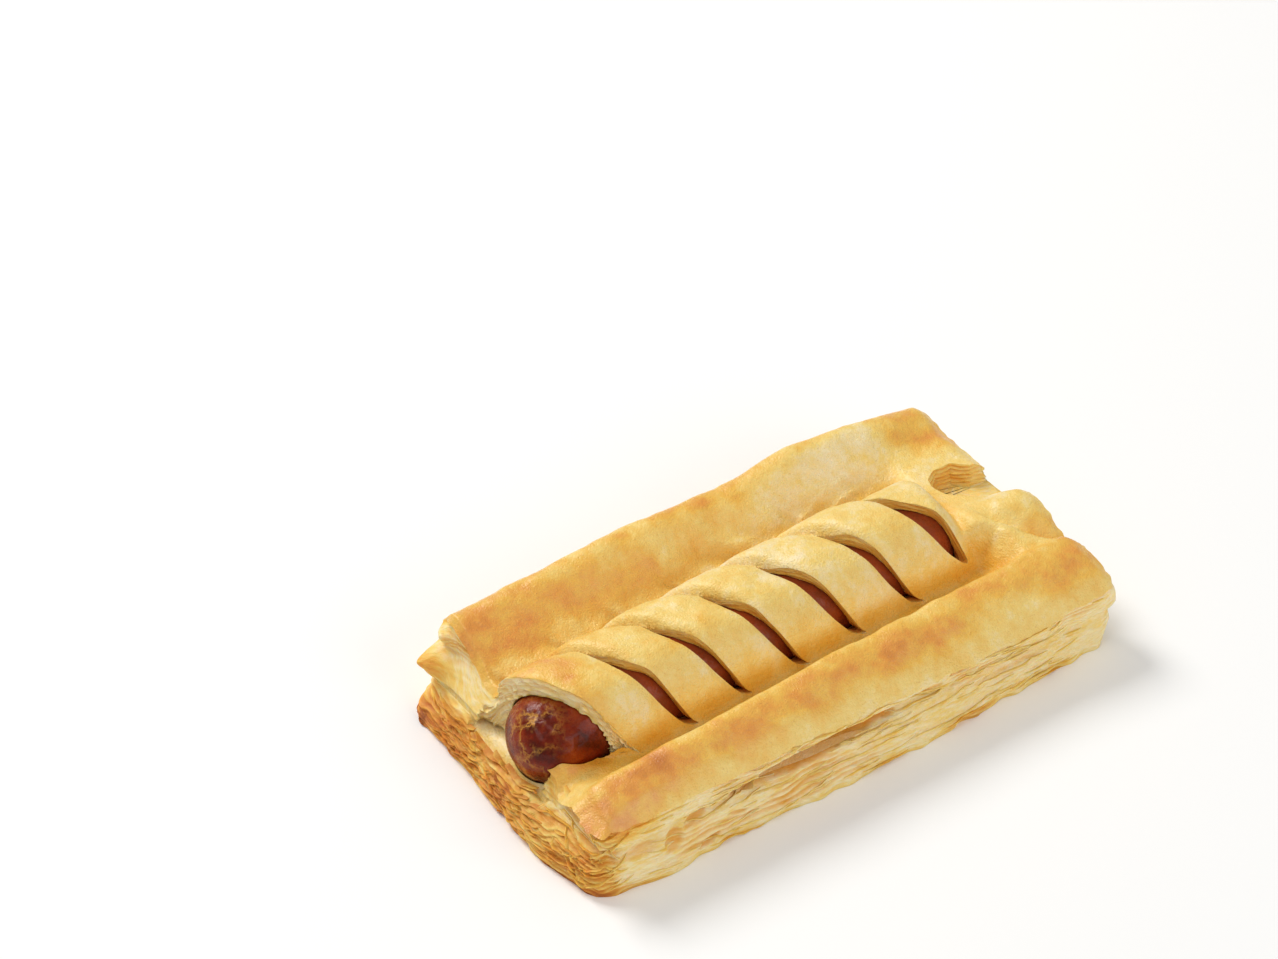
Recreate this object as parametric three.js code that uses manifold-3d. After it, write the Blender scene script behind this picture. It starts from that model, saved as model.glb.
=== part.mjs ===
// A sausage baked in a case of laminated pastry. The top sheet is slashed into slanting strips over it,
// and puffs up into a rim along both sides. The sausage's front end is left open.
// Millimetres, +Z up. X runs from the open front end to the back end, Y across, and the case lies on z = 0.
import * as THREE from "three";
import { mergeVertices } from "three/addons/utils/BufferGeometryUtils.js";
import Module from "manifold-3d";

// ---- the case ----
const FRONT_X = -76;
const BACK_X = 79.5;
const NEAR_Y = -40;
const FAR_Y = 41.5;
const CORNER_RADIUS = 5;
const NEAR_VALLEY_Z = 16; // top sheet where it dips between a rim and the sausage
const FAR_VALLEY_Z = 20;
const LOWER_SHEET_Z = 10.5; // top of the lower sheet, bare at the front end
// The cleft round the side where the two sheets part.
const CLEFT = { z: 12.5, depth: 2, above: 0.9, below: 2.4, wave: 0.8, waveLength: 14 };
// Along the near side the cleft climbs from the front end, and sinks again towards the back end.
const CLEFT_CLIMB = { rise: 2, fromX: -34, toX: -12, fall: 4, fallX: 0, endX: 60, fromY: -18, fullY: -38 };
const CLEFT_GAPE = { depth: 2, x: -10, spread: 22 }; // it is deeper here, on the near side
const EDGE_FALL = 2.2; // the top sheet curls down this much over the last EDGE_WIDTH
const EDGE_WIDTH = 4;
const EDGE_REACH = 12; // how far in from the outline its bulges are still felt

// ---- the sausage ----
const SAUSAGE_RADIUS = 12.6;
const SAUSAGE_FRONT_X = -77;
const SAUSAGE_BACK_X = 60;
const SAUSAGE_Z = 18; // height of its axis
const SAUSAGE_AXIS_Y = -3; // at its front end
const SAUSAGE_DRIFT = 0.05; // sideways travel of the axis for each millimetre of X
const SAUSAGE_END_POWER = 2.2; // 2 is a half ball, more is blunter
const SEAT_GAP = 0.35;

// ---- the strips over it ----
const STRIP_THICKNESS = 4.6;
const DRAPE_POWER = 3; // 2 is an ellipse's flank, more is a squarer one
const DRAPE_ARC = 0.57; // extra length of the draped sheet at its flank, as a share of its radius
const DRAPE_ARC_POWER = 5; // how late that extra length comes in
const DRAPE_END = { before: 9, after: 6 }; // the sheet sinks over this stretch past the sausage's back end
const SLIT_COUNT = 7; // the first is the front edge of the first strip
const SLIT_FIRST_X = -65.2; // where the first slit crosses the sausage's axis
const SLIT_PITCH = 16.4;
const SLIT_PITCH_GROWTH = 0.69; // each strip is this much wider than the one before
const SLIT_SLANT = 0.54; // travel along -X for each millimetre of sheet
const SLIT_NEAR_REACH = 18; // ends of a slit, across from the sausage's axis
const SLIT_FAR_REACH = 13.5;
const SLIT_HALF_WIDTHS = [2.3, 1.9, 2.2, 2.5, 2.2, 3.9]; // of the cuts between strips
const LAST_SLIT_NEAR_REACH = 15.5;
const SLIT_DEPTH = 7.5; // square to the sheet, which reaches into the sausage's room
const SLIT_RELEASE = 0.6; // the cutter turns upright this far above the sheet
const SLIT_BLUNT = 0.28; // share of its length over which a slit's near end rounds off
const SLIT_TAPER = { full: 0.3, closed: 0.98 }; // shares of its length between which it narrows
const BROW = { drop: 2.2, low: 0.06, high: 0.27 }; // each strip's front edge rounds over, in shares of it
const FIRST_BROW_DROP = 0.5; // the first strip's is nearly square
const TAIL = { drop: 1.2, high: 0.55, low: 0.9 }; // and its back edge sinks
const STRIP_LOBE = { reach: 2.4, rise: 0.25, fall: 0.6 }; // a strip's far foot stands out over the valley
// Sheet folded down beside the sausage, before the first strip. It sinks towards that strip's foot.
const FLAP = { z: 20.5, edgeX: 3, edgeY: 6, sink: 3.2, fromX: -71, toX: -61 };

// ---- the open front end: from the corner flap along the first strip to that strip's far foot ----
const FRONT_OPENING = {
  flapY: -11.6,
  flapCorner: [
    [-72.5, -11.6],
    [-64, -12.2],
    [-60.5, -15.4],
  ],
  nearReach: -17.2,
  farReach: 5.5,
  farFoot: [
    [-70.5, 12],
    [-72.5, 17.5],
  ],
  farY: 17.5,
};

// ---- the rims and the back end ----
const NEAR_RIM = {
  frontY: -29,
  backY: -25,
  top: 26.6,
  inner: 5.2,
  outer: 13.4,
  swells: [{ x: -84, rise: -4, spread: 17 }],
};
const FAR_RIM = {
  frontY: 36.5,
  backY: 36.5,
  top: 29,
  inner: 10.5,
  outer: 9.5,
  swells: [
    { x: -16, rise: 2.4, spread: 22 },
    { x: 38, rise: 3.6, spread: 21 },
    { x: 84, rise: -3.5, spread: 13 },
  ],
};
const BACK_PANEL = {
  frontX: 51,
  fullX: 61,
  lag: 5, // it starts this much later beside the last strip's near foot, which leaves a pit there
  lagFromY: -7,
  lagToY: -13,
  z: 23.6,
  hump: 4.2,
  humpY: -7,
  humpSpread: 9,
  fallY: -27,
  fall: 5,
};
const BACK_NOTCH = {
  floorZ: 17.8,
  panelY: -8,
  panelEdge: [
    [62.5, 12],
    [63.5, 7.5],
    [66.5, 3],
    [73.5, -2.5],
    [80.5, -7.5],
  ],
  rimY: 13,
  rimEdge: [
    [76, 13.5],
    [72.5, 17.5],
    [67, 17.5],
    [63.5, 15],
  ],
};
const FOLD = { x: 64, y: -12, endX: 81, endY: -28, step: 1.4, soft: 0.8 }; // near part overlaps far part
const FOLD_START = 3;

// ---- the baked surface ----
const UNEVENNESS = [
  { height: 0.5, lengthX: 17, lengthY: 13 },
  { height: 0.4, lengthX: 7, lengthY: 6 },
];
const WRINKLES = { x: 16, y: 24, spreadX: 26, spreadY: 6, height: 0.5, slant: 1.6, pitch: 2.4 };

// Bulges (+) and hollows (-) of the flaky side: where along that side, how high, and how far they reach.
const SIDE_RELIEF = [
  { side: "front", at: 40, spread: 6, z: 22.5, height: 2, reach: 3.6 },
  { side: "front", at: 40, spread: 8, z: 17, height: 2.4, reach: 3 },
  { side: "front", at: 40, spread: 7, z: 7.5, height: 1.8, reach: -3 },
  { side: "front", at: 41, spread: 9, z: 2, height: 3, reach: 2 },
  { side: "front", at: -18, spread: 27, z: 2, height: 9, reach: 6.5 },
  { side: "front", at: 20, spread: 22, z: 2, height: 8, reach: 2.4 },
  { side: "near", at: -60, spread: 16, z: 1, height: 10, reach: 2.8 },
  { side: "near", at: 0, spread: 48, z: 1, height: 10, reach: 3.6 },
  { side: "back", at: -39, spread: 13, z: 12, height: 8, reach: 4.6 },
  { side: "back", at: -4, spread: 14, z: 18, height: 9, reach: 1.5 },
  { side: "far", at: 20, spread: 40, z: 4, height: 9, reach: 1.5 },
];
const FLAKES = { depth: 0.9, length: 7, height: 2.3, footing: 2 };
// The top sheet's front end stands back: far of the sausage, all but a middle layer, and beside it, the flap.
const FAR_LEAN = { reach: 7.5, lowZ: 9, highZ: 22, fromY: 10, fullY: 15 };
const FAR_LAYER = { y: 41, spread: 5, lowZ: 16, highZ: 21 };
const FLAP_LEAN = { reach: 3.4, lowZ: 10, highZ: 15, nearY: -38, fullY: -14, farY: -8, endY: 0 };

// ---- mesh sizes ----
const COLUMNS_BEFORE_STRIPS = 4;
const COLUMNS_PER_STRIP = 7;
const COLUMNS_AFTER_STRIPS = 12;
const ROWS = 30;
const LEAN_FADE = 25; // columns stand square across at the ends and lean fully this far in
const LEAN_INSET = 14; // rows at the two long sides keep their places along X
const LEVELS_BELOW_CLEFT = 6;
const LEVELS_ABOVE_CLEFT = 6;
const SLIT_STEPS = 11;
const SLIT_STEP_POWER = 1.5; // steps are shorter at a slit's near end
const OPENING_STEPS = 8;
const SAUSAGE_SIDES = 30;
const SAUSAGE_STATIONS = 30;
const FLAKE_SEED = 50;
const CLEFT_SEED = 9;
const MERGE_DISTANCE = 1e-4;
const WELD_DISTANCE = 0.04;
const CUTTER_TOP_Z = 60;
const FAR_AWAY = 200;

const COLOURS = { pastry: 0xe3b866, sausage: 0x7c2a1c };

const wasm = await Module();
wasm.setup();

// ---- small maths ----
const clamp01 = (t) => Math.min(1, Math.max(0, t));
const mix = (a, b, t) => a + (b - a) * t;
const bell = (s) => Math.exp(-s * s);

// 0 at low, 1 at high, smooth between; low may be the greater.
function ease(low, high, t) {
  const s = clamp01((t - low) / (high - low));
  return s * s * (3 - 2 * s);
}

function smoothMax(a, b, softness = 1) {
  return Math.max(a, b) + softness * Math.log1p(Math.exp(-Math.abs(a - b) / softness));
}

// A repeatable number from 0 to 1 for a lattice point.
function hash(i, j) {
  const n = Math.sin(i * 127.1 + j * 311.7) * 43758.5453;
  return n - Math.floor(n);
}

// Smooth noise from -1 to 1 over a plane.
function noise(x, y) {
  const i = Math.floor(x);
  const j = Math.floor(y);
  const u = ease(0, 1, x - i);
  const low = mix(hash(i, j), hash(i + 1, j), u);
  const high = mix(hash(i, j + 1), hash(i + 1, j + 1), u);
  return 2 * mix(low, high, ease(0, 1, y - j)) - 1;
}

// ---- the draped sheet's own measures ----
const DRAPE_RADIUS = SAUSAGE_RADIUS + STRIP_THICKNESS;
const axisY = (x) => SAUSAGE_AXIS_Y + SAUSAGE_DRIFT * (x - SAUSAGE_FRONT_X);

// Length of sheet from the crest out to a distance across. A cut that is straight in the flat sheet is in this.
function sheetLength(across) {
  const t = Math.min(1, Math.abs(across) / DRAPE_RADIUS);
  return Math.sign(across) * (Math.abs(across) + DRAPE_ARC * DRAPE_RADIUS * t ** DRAPE_ARC_POWER);
}

const slitX = (n) => SLIT_FIRST_X + n * SLIT_PITCH + (SLIT_PITCH_GROWTH * n * (n - 1)) / 2;
const slitAt = (n, y) => slitX(n) - SLIT_SLANT * sheetLength(y - axisY(slitX(n)));

// Share of the way across the strip at (x, y), 0 and 1 being its two slits.
function acrossStrip(x, y) {
  let n = 0;
  while (n < SLIT_COUNT - 1 && slitAt(n + 1, y) < x) n += 1;
  return clamp01((x - slitAt(n, y)) / (slitAt(n + 1, y) - slitAt(n, y)));
}

// ---- height of the top sheet ----
const valleyHeight = (y) => mix(NEAR_VALLEY_Z, FAR_VALLEY_Z, ease(-18, 18, y));

// A strip's own relief across it: a rounded brow in front and a low tail behind.
function stripRelief(share, isFirst) {
  const brow = 1 - clamp01((share - BROW.low) / (BROW.high - BROW.low));
  const tail = clamp01((share - TAIL.high) / (TAIL.low - TAIL.high));
  const browDrop = isFirst ? FIRST_BROW_DROP : BROW.drop;
  return -browDrop * (1 - Math.sqrt(1 - brow * brow)) - TAIL.drop * tail * tail;
}

function drapeHeight(x, y) {
  const share = acrossStrip(x, y);
  const lobe = STRIP_LOBE.reach * ease(0, STRIP_LOBE.rise, share) * ease(1, STRIP_LOBE.fall, share);
  const fromAxis = y - axisY(x);
  const across = Math.abs(fromAxis) / (DRAPE_RADIUS + (fromAxis > 0 ? lobe : 0));
  const arch = SAUSAGE_Z + DRAPE_RADIUS * Math.max(-1, 1 - across ** DRAPE_POWER);
  const pastSausage = ease(SAUSAGE_BACK_X - DRAPE_END.before, SAUSAGE_BACK_X + DRAPE_END.after, x);
  const overStrips = ease(SLIT_NEAR_REACH + 1, SLIT_FAR_REACH, across * DRAPE_RADIUS);
  const relief = stripRelief(share, x < slitAt(1, y)) * overStrips * (1 - pastSausage);
  const draped = mix(arch + relief, NEAR_VALLEY_Z, pastSausage);
  const onFlap = ease(0, -FLAP.edgeX, x - slitAt(0, y)) * ease(0, -FLAP.edgeY, y - axisY(x));
  return mix(draped, FLAP.z - FLAP.sink * ease(FLAP.fromX, FLAP.toX, x), onFlap);
}

// A long rim: a rounded ridge that swells here and there.
function rimHeight(rim, x, y) {
  const crestY = mix(rim.frontY, rim.backY, ease(-60, 60, x));
  const outside = Math.sign(rim.frontY);
  const width = (y - crestY) * outside > 0 ? rim.outer : rim.inner;
  const swelling = rim.swells.reduce((sum, s) => sum + s.rise * bell((x - s.x) / s.spread), 0);
  const foot = valleyHeight(y);
  return foot + (rim.top + swelling - foot) * bell((y - crestY) / width);
}

function backPanelHeight(x, y) {
  const across = (x - FOLD.x) * (FOLD.endY - FOLD.y) - (y - FOLD.y) * (FOLD.endX - FOLD.x);
  const distance = across / Math.hypot(FOLD.endX - FOLD.x, FOLD.endY - FOLD.y);
  const started = ease(FOLD.x - FOLD_START, FOLD.x + FOLD_START, x);
  const step = FOLD.step * ease(-FOLD.soft, FOLD.soft, distance) * started;
  const hump = BACK_PANEL.hump * bell((y - BACK_PANEL.humpY) / BACK_PANEL.humpSpread);
  const fall = BACK_PANEL.fall * ease(BACK_PANEL.fallY, NEAR_Y, y);
  const full = BACK_PANEL.z + hump + step - fall;
  const lag = BACK_PANEL.lag * ease(BACK_PANEL.lagFromY, BACK_PANEL.lagToY, y);
  return mix(NEAR_VALLEY_Z, full, ease(BACK_PANEL.frontX, BACK_PANEL.fullX, x - lag));
}

function topHeight(x, y) {
  let z = smoothMax(rimHeight(NEAR_RIM, x, y), rimHeight(FAR_RIM, x, y));
  z = smoothMax(z, backPanelHeight(x, y));
  z = smoothMax(z, drapeHeight(x, y));
  for (const lump of UNEVENNESS) z += lump.height * noise(x / lump.lengthX, y / lump.lengthY);
  const wrinkled = bell((y - WRINKLES.y) / WRINKLES.spreadY) * bell((x - WRINKLES.x) / WRINKLES.spreadX);
  return z + WRINKLES.height * wrinkled * Math.sin((x + WRINKLES.slant * y) / WRINKLES.pitch);
}

// ---- the outline, at any height ----
const alongSide = { front: (x, y) => y, back: (x, y) => y, near: (x) => x, far: (x) => x };

function cleftHeight(x, y) {
  const climb = CLEFT_CLIMB.rise * ease(CLEFT_CLIMB.fromX, CLEFT_CLIMB.toX, x);
  const sink = CLEFT_CLIMB.fall * ease(CLEFT_CLIMB.fallX, CLEFT_CLIMB.endX, x);
  return CLEFT.z + (climb - sink) * ease(CLEFT_CLIMB.fromY, CLEFT_CLIMB.fullY, y);
}

// How far one side stands out from the plain outline.
function sideReach(side, x, y, z) {
  const along = alongSide[side](x, y);
  let reach = FLAKES.depth * noise(along / FLAKES.length, z / FLAKES.height + FLAKE_SEED);
  reach *= ease(-FLAKES.footing, FLAKES.footing, z);
  const fromCleft = z - cleftHeight(x, y) - CLEFT.wave * noise(along / CLEFT.waveLength, CLEFT_SEED);
  const gape = side === "near" ? CLEFT_GAPE.depth * bell((along - CLEFT_GAPE.x) / CLEFT_GAPE.spread) : 0;
  reach -= (CLEFT.depth + gape) * bell(fromCleft / (fromCleft > 0 ? CLEFT.above : CLEFT.below));
  for (const relief of SIDE_RELIEF) {
    if (relief.side !== side) continue;
    reach += relief.reach * bell((along - relief.at) / relief.spread) * bell((z - relief.z) / relief.height);
  }
  return side === "front" ? reach - frontLean(y, z) : reach;
}

// How far the top sheet's front end stands back from the lower sheet's.
function frontLean(y, z) {
  const layer = bell((y - FAR_LAYER.y) / FAR_LAYER.spread) * ease(FAR_LAYER.highZ, FAR_LAYER.lowZ, z);
  const far = ease(FAR_LEAN.lowZ, FAR_LEAN.highZ, z) * ease(FAR_LEAN.fromY, FAR_LEAN.fullY, y) * (1 - layer);
  const alongFlap = ease(FLAP_LEAN.nearY, FLAP_LEAN.fullY, y) * ease(FLAP_LEAN.endY, FLAP_LEAN.farY, y);
  return FAR_LEAN.reach * far + FLAP_LEAN.reach * ease(FLAP_LEAN.lowZ, FLAP_LEAN.highZ, z) * alongFlap;
}

// The plain rectangle's corner squares are drawn in to quarter discs; every other point stays.
function roundCorner(x, y) {
  const a = Math.max(0, FRONT_X + CORNER_RADIUS - x, x - BACK_X + CORNER_RADIUS) / CORNER_RADIUS;
  const b = Math.max(0, NEAR_Y + CORNER_RADIUS - y, y - FAR_Y + CORNER_RADIUS) / CORNER_RADIUS;
  const inX = CORNER_RADIUS * a * (1 - Math.sqrt(1 - (b * b) / 2));
  const inY = CORNER_RADIUS * b * (1 - Math.sqrt(1 - (a * a) / 2));
  return [x - Math.sign(x) * inX, y - Math.sign(y) * inY];
}

// Moves a point of the plain plan out with the sides' relief at height z, or at the top edge's height if z is
// left out. The move fades towards the middle.
function placeInPlan(plainX, plainY, z) {
  const [x, y] = roundCorner(plainX, plainY);
  const move = (side, inset, edgeX, edgeY) => {
    if (inset >= EDGE_REACH) return 0;
    return (1 - inset / EDGE_REACH) * sideReach(side, edgeX, edgeY, z ?? topHeight(edgeX, edgeY) - EDGE_FALL);
  };
  const dx = move("back", BACK_X - plainX, BACK_X, y) - move("front", plainX - FRONT_X, FRONT_X, y);
  const dy = move("far", FAR_Y - plainY, x, FAR_Y) - move("near", plainY - NEAR_Y, x, NEAR_Y);
  return [x + dx, y + dy];
}

// ---- the blank: one closed mesh of top sheet, flaky side and flat underside ----
// Columns bunch so that each slit lies on one, and lean with the slits over the sausage.
function columnPositions() {
  const stops = [FRONT_X];
  for (let n = 0; n < SLIT_COUNT; n += 1) stops.push(slitX(n));
  stops.push(BACK_X);
  const columns = [];
  for (let s = 0; s + 1 < stops.length; s += 1) {
    let count = COLUMNS_PER_STRIP;
    if (s === 0) count = COLUMNS_BEFORE_STRIPS;
    if (s === stops.length - 2) count = COLUMNS_AFTER_STRIPS;
    for (let k = 0; k < count; k += 1) columns.push(mix(stops[s], stops[s + 1], k / count));
  }
  columns.push(BACK_X);
  return columns;
}

function plainPlan(columnX, share) {
  const y = mix(NEAR_Y, FAR_Y, share);
  const lean = clamp01((columnX - FRONT_X) / LEAN_FADE) * clamp01((BACK_X - columnX) / LEAN_FADE);
  const upright = ease(0, LEAN_INSET, Math.min(y - NEAR_Y, FAR_Y - y));
  return [columnX - SLIT_SLANT * sheetLength(y - axisY(columnX)) * lean * upright, y];
}

function topPoint(columnX, share) {
  const [plainX, plainY] = plainPlan(columnX, share);
  const [x, y] = placeInPlan(plainX, plainY);
  const inset = Math.min(plainX - FRONT_X, BACK_X - plainX, plainY - NEAR_Y, FAR_Y - plainY);
  return [x, y, topHeight(x, y) - EDGE_FALL * (1 - clamp01(inset / EDGE_WIDTH)) ** 2];
}

function pastryBlank() {
  const points = [];
  const faces = [];
  const add = (point) => points.push(point) - 1;
  const quad = (a, b, c, d) => faces.push([a, b, c], [a, c, d]);

  const columns = columnPositions();
  const last = columns.length - 1;
  const top = columns.map((x) => Array.from({ length: ROWS + 1 }, (_, j) => add(topPoint(x, j / ROWS))));
  for (let i = 0; i < last; i += 1) {
    for (let j = 0; j < ROWS; j += 1) quad(top[i][j], top[i + 1][j], top[i + 1][j + 1], top[i][j + 1]);
  }

  const outline = [];
  for (let i = 0; i < last; i += 1) outline.push([i, 0]);
  for (let j = 0; j < ROWS; j += 1) outline.push([last, j]);
  for (let i = last; i > 0; i -= 1) outline.push([i, ROWS]);
  for (let j = ROWS; j > 0; j -= 1) outline.push([0, j]);

  const edge = outline.map(([i, j]) => top[i][j]);
  const levelHeight = (level, cleftZ, edgeZ) =>
    level < LEVELS_BELOW_CLEFT
      ? (cleftZ * level) / LEVELS_BELOW_CLEFT
      : mix(cleftZ, edgeZ, (level - LEVELS_BELOW_CLEFT) / LEVELS_ABOVE_CLEFT);
  let above = edge;
  for (let level = LEVELS_BELOW_CLEFT + LEVELS_ABOVE_CLEFT - 1; level >= 0; level -= 1) {
    const ring = outline.map(([i, j], k) => {
      const plain = plainPlan(columns[i], j / ROWS);
      const z = levelHeight(level, cleftHeight(...plain), points[edge[k]][2]);
      return add([...placeInPlan(...plain, z), z]);
    });
    ring.forEach((index, k) => {
      const next = (k + 1) % ring.length;
      quad(index, ring[next], above[next], above[k]);
    });
    above = ring;
  }

  const middle = above.map((index) => add([points[index][0] / 2, points[index][1] / 2, 0]));
  const centre = add([0, 0, 0]);
  above.forEach((index, k) => {
    const next = (k + 1) % above.length;
    quad(index, middle[k], middle[next], above[next]);
    faces.push([middle[k], centre, middle[next]]);
  });
  return solidFrom(points.flat(), faces.flat());
}

// ---- solids to and from three.js ----
function solidFrom(coordinates, triangles) {
  const mesh = new wasm.Mesh({
    numProp: 3,
    vertProperties: new Float32Array(coordinates),
    triVerts: new Uint32Array(triangles),
  });
  return new wasm.Manifold(mesh);
}

function toSolid(geometry) {
  const bare = geometry.clone();
  bare.deleteAttribute("normal");
  bare.deleteAttribute("uv");
  const merged = mergeVertices(bare, MERGE_DISTANCE);
  return solidFrom(merged.attributes.position.array, merged.index.array);
}

// Points closer than WELD_DISTANCE become one, and the triangles that this flattens are left out.
function toGeometry(solid) {
  const mesh = solid.getMesh();
  const raw = new THREE.BufferGeometry();
  raw.setAttribute("position", new THREE.BufferAttribute(new Float32Array(mesh.vertProperties), 3));
  raw.setIndex(new THREE.BufferAttribute(new Uint32Array(mesh.triVerts), 1));
  const geometry = mergeVertices(raw, WELD_DISTANCE);
  const kept = [];
  for (let k = 0; k < geometry.index.count; k += 3) {
    const [a, b, c] = [geometry.index.getX(k), geometry.index.getX(k + 1), geometry.index.getX(k + 2)];
    if (a !== b && b !== c && c !== a) kept.push(a, b, c);
  }
  geometry.setIndex(kept);
  geometry.computeVertexNormals();
  return geometry;
}

// ---- the sausage: a turned body with full round ends, laid along its drifting axis ----
function sausageGeometry(extra) {
  const radius = SAUSAGE_RADIUS + extra;
  const half = (SAUSAGE_BACK_X - SAUSAGE_FRONT_X) / 2 + extra;
  const profile = [];
  for (let k = 0; k <= SAUSAGE_STATIONS; k += 1) {
    const along = Math.sin(Math.PI * (k / SAUSAGE_STATIONS - 0.5));
    const intoCap = clamp01((half * (1 - Math.abs(along))) / radius);
    const onAxis = k === 0 || k === SAUSAGE_STATIONS;
    const across = radius * Math.sqrt(1 - (1 - intoCap) ** SAUSAGE_END_POWER);
    profile.push(new THREE.Vector2(onAxis ? 0 : across, half * along));
  }
  const body = new THREE.LatheGeometry(profile, SAUSAGE_SIDES);
  body.rotateZ(-Math.PI / 2);
  body.translate((SAUSAGE_BACK_X + SAUSAGE_FRONT_X) / 2, 0, SAUSAGE_Z);
  const position = body.attributes.position;
  for (let k = 0; k < position.count; k += 1) position.setY(k, position.getY(k) + axisY(position.getX(k)));
  return body;
}

// ---- cutters ----
// An upright prism.
function prism(outline, floor) {
  const shape = new THREE.Shape(outline.map(([x, y]) => new THREE.Vector2(x, y)));
  const body = new THREE.ExtrudeGeometry(shape, { depth: CUTTER_TOP_Z - floor, bevelEnabled: false });
  body.translate(0, 0, floor);
  return toSolid(body);
}

// A solid between rings of as many corners each, which start at one pointed end of a long loop.
// Its foot and its top are strips of faces from one long side of the loop to the other.
function loftedLoop(rings) {
  const count = rings[0].length;
  const half = count / 2;
  const faces = [];
  for (let r = 0; r + 1 < rings.length; r += 1) {
    for (let k = 0; k < count; k += 1) {
      const next = (k + 1) % count;
      const [a, b] = [r * count + k, r * count + next];
      faces.push(a, b, b + count, a, b + count, a + count);
    }
  }
  const lid = (rings.length - 1) * count;
  for (let k = 0; k < half; k += 1) {
    const [a, b] = [k, k + 1];
    const [c, d] = [count - b, (count - a) % count];
    if (c !== b) faces.push(a, c, b, lid + a, lid + b, lid + c);
    if (d !== a) faces.push(a, d, c, lid + a, lid + c, lid + d);
  }
  return solidFrom(rings.flat(2), faces);
}

// How far a cut that is square to the sheet leans from upright, at a distance across from the sausage's axis.
function sheetLean(across) {
  const share = Math.min(1, Math.abs(across) / DRAPE_RADIUS);
  return Math.sign(across) * Math.atan(DRAPE_POWER * share ** (DRAPE_POWER - 1));
}

// The gap between two strips, cut square to the sheet: blunt at its near end, a point at its far end.
function slitCutter(n) {
  const centreY = axisY(slitX(n));
  const nearReach = n === SLIT_COUNT - 1 ? LAST_SLIT_NEAR_REACH : SLIT_NEAR_REACH;
  const edgePoint = (share, side) => {
    const y = centreY + mix(-nearReach, SLIT_FAR_REACH, share);
    const blunt = Math.sqrt(1 - (1 - clamp01(share / SLIT_BLUNT)) ** 2);
    const halfWidth = SLIT_HALF_WIDTHS[n - 1] * blunt * ease(SLIT_TAPER.closed, SLIT_TAPER.full, share);
    return [slitAt(n, y) + side * halfWidth, y];
  };
  const outline = [];
  const shareAt = (k) => (k / SLIT_STEPS) ** SLIT_STEP_POWER * SLIT_TAPER.closed;
  for (let k = 0; k < SLIT_STEPS; k += 1) outline.push(edgePoint(shareAt(k), 1));
  for (let k = SLIT_STEPS; k > 0; k -= 1) outline.push(edgePoint(shareAt(k), -1));
  const under = (depth) =>
    outline.map(([x, y]) => {
      const lean = sheetLean(y - axisY(x));
      return [x, y - depth * Math.sin(lean), topHeight(x, y) - depth * Math.cos(lean)];
    });
  const release = under(-SLIT_RELEASE);
  return loftedLoop([under(SLIT_DEPTH), release, release.map(([x, y]) => [x, y, CUTTER_TOP_Z])]);
}

// Clears the sausage's front end down to the lower sheet, from the corner flap to the first strip's far foot.
function frontOpening() {
  const firstStripEdge = [];
  for (let k = 0; k <= OPENING_STEPS; k += 1) {
    const y = axisY(SLIT_FIRST_X) + mix(FRONT_OPENING.nearReach, FRONT_OPENING.farReach, k / OPENING_STEPS);
    firstStripEdge.push([slitAt(0, y), y]);
  }
  const outline = [
    [-FAR_AWAY, FRONT_OPENING.flapY],
    ...FRONT_OPENING.flapCorner,
    ...firstStripEdge,
    ...FRONT_OPENING.farFoot,
    [-FAR_AWAY, FRONT_OPENING.farY],
  ];
  return prism(outline, LOWER_SHEET_Z);
}

// The gap between the far rim's cut end and the back panel's free edge.
function backNotch() {
  const outline = [
    ...BACK_NOTCH.panelEdge,
    [FAR_AWAY, BACK_NOTCH.panelY],
    [FAR_AWAY, BACK_NOTCH.rimY],
    ...BACK_NOTCH.rimEdge,
  ];
  return prism(outline, BACK_NOTCH.floorZ);
}

// ---- the part ----
const cutters = [frontOpening(), backNotch(), toSolid(sausageGeometry(SEAT_GAP))];
for (let n = 1; n < SLIT_COUNT; n += 1) cutters.push(slitCutter(n));
const carved = cutters.reduce((body, cutter) => body.subtract(cutter), pastryBlank());
const byVolume = carved.decompose().sort((a, b) => b.volume() - a.volume());

function baked(colour, roughness) {
  return new THREE.MeshStandardMaterial({ color: colour, roughness, metalness: 0 });
}

const pastry = new THREE.Mesh(toGeometry(byVolume[0]), baked(COLOURS.pastry, 0.5));
pastry.name = "pastry";

const sausage = new THREE.Mesh(sausageGeometry(0), baked(COLOURS.sausage, 0.3));
sausage.name = "sausage";

const part = new THREE.Group();
part.add(pastry, sausage);

// The origin goes under the middle of the whole.
const box = new THREE.Box3().setFromObject(part);
part.position.set(-(box.min.x + box.max.x) / 2, -(box.min.y + box.max.y) / 2, -box.min.z);

export default part;
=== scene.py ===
"""A sausage baked in a case of laminated pastry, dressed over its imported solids.

Sizes are in millimetres in the case's own frame: X runs from the open front end to the back end, Y across
from the near side to the far side, Z up from the tray. Meshes are written in metres.
"""
import logging
import math
from dataclasses import dataclass
from enum import Enum

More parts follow.
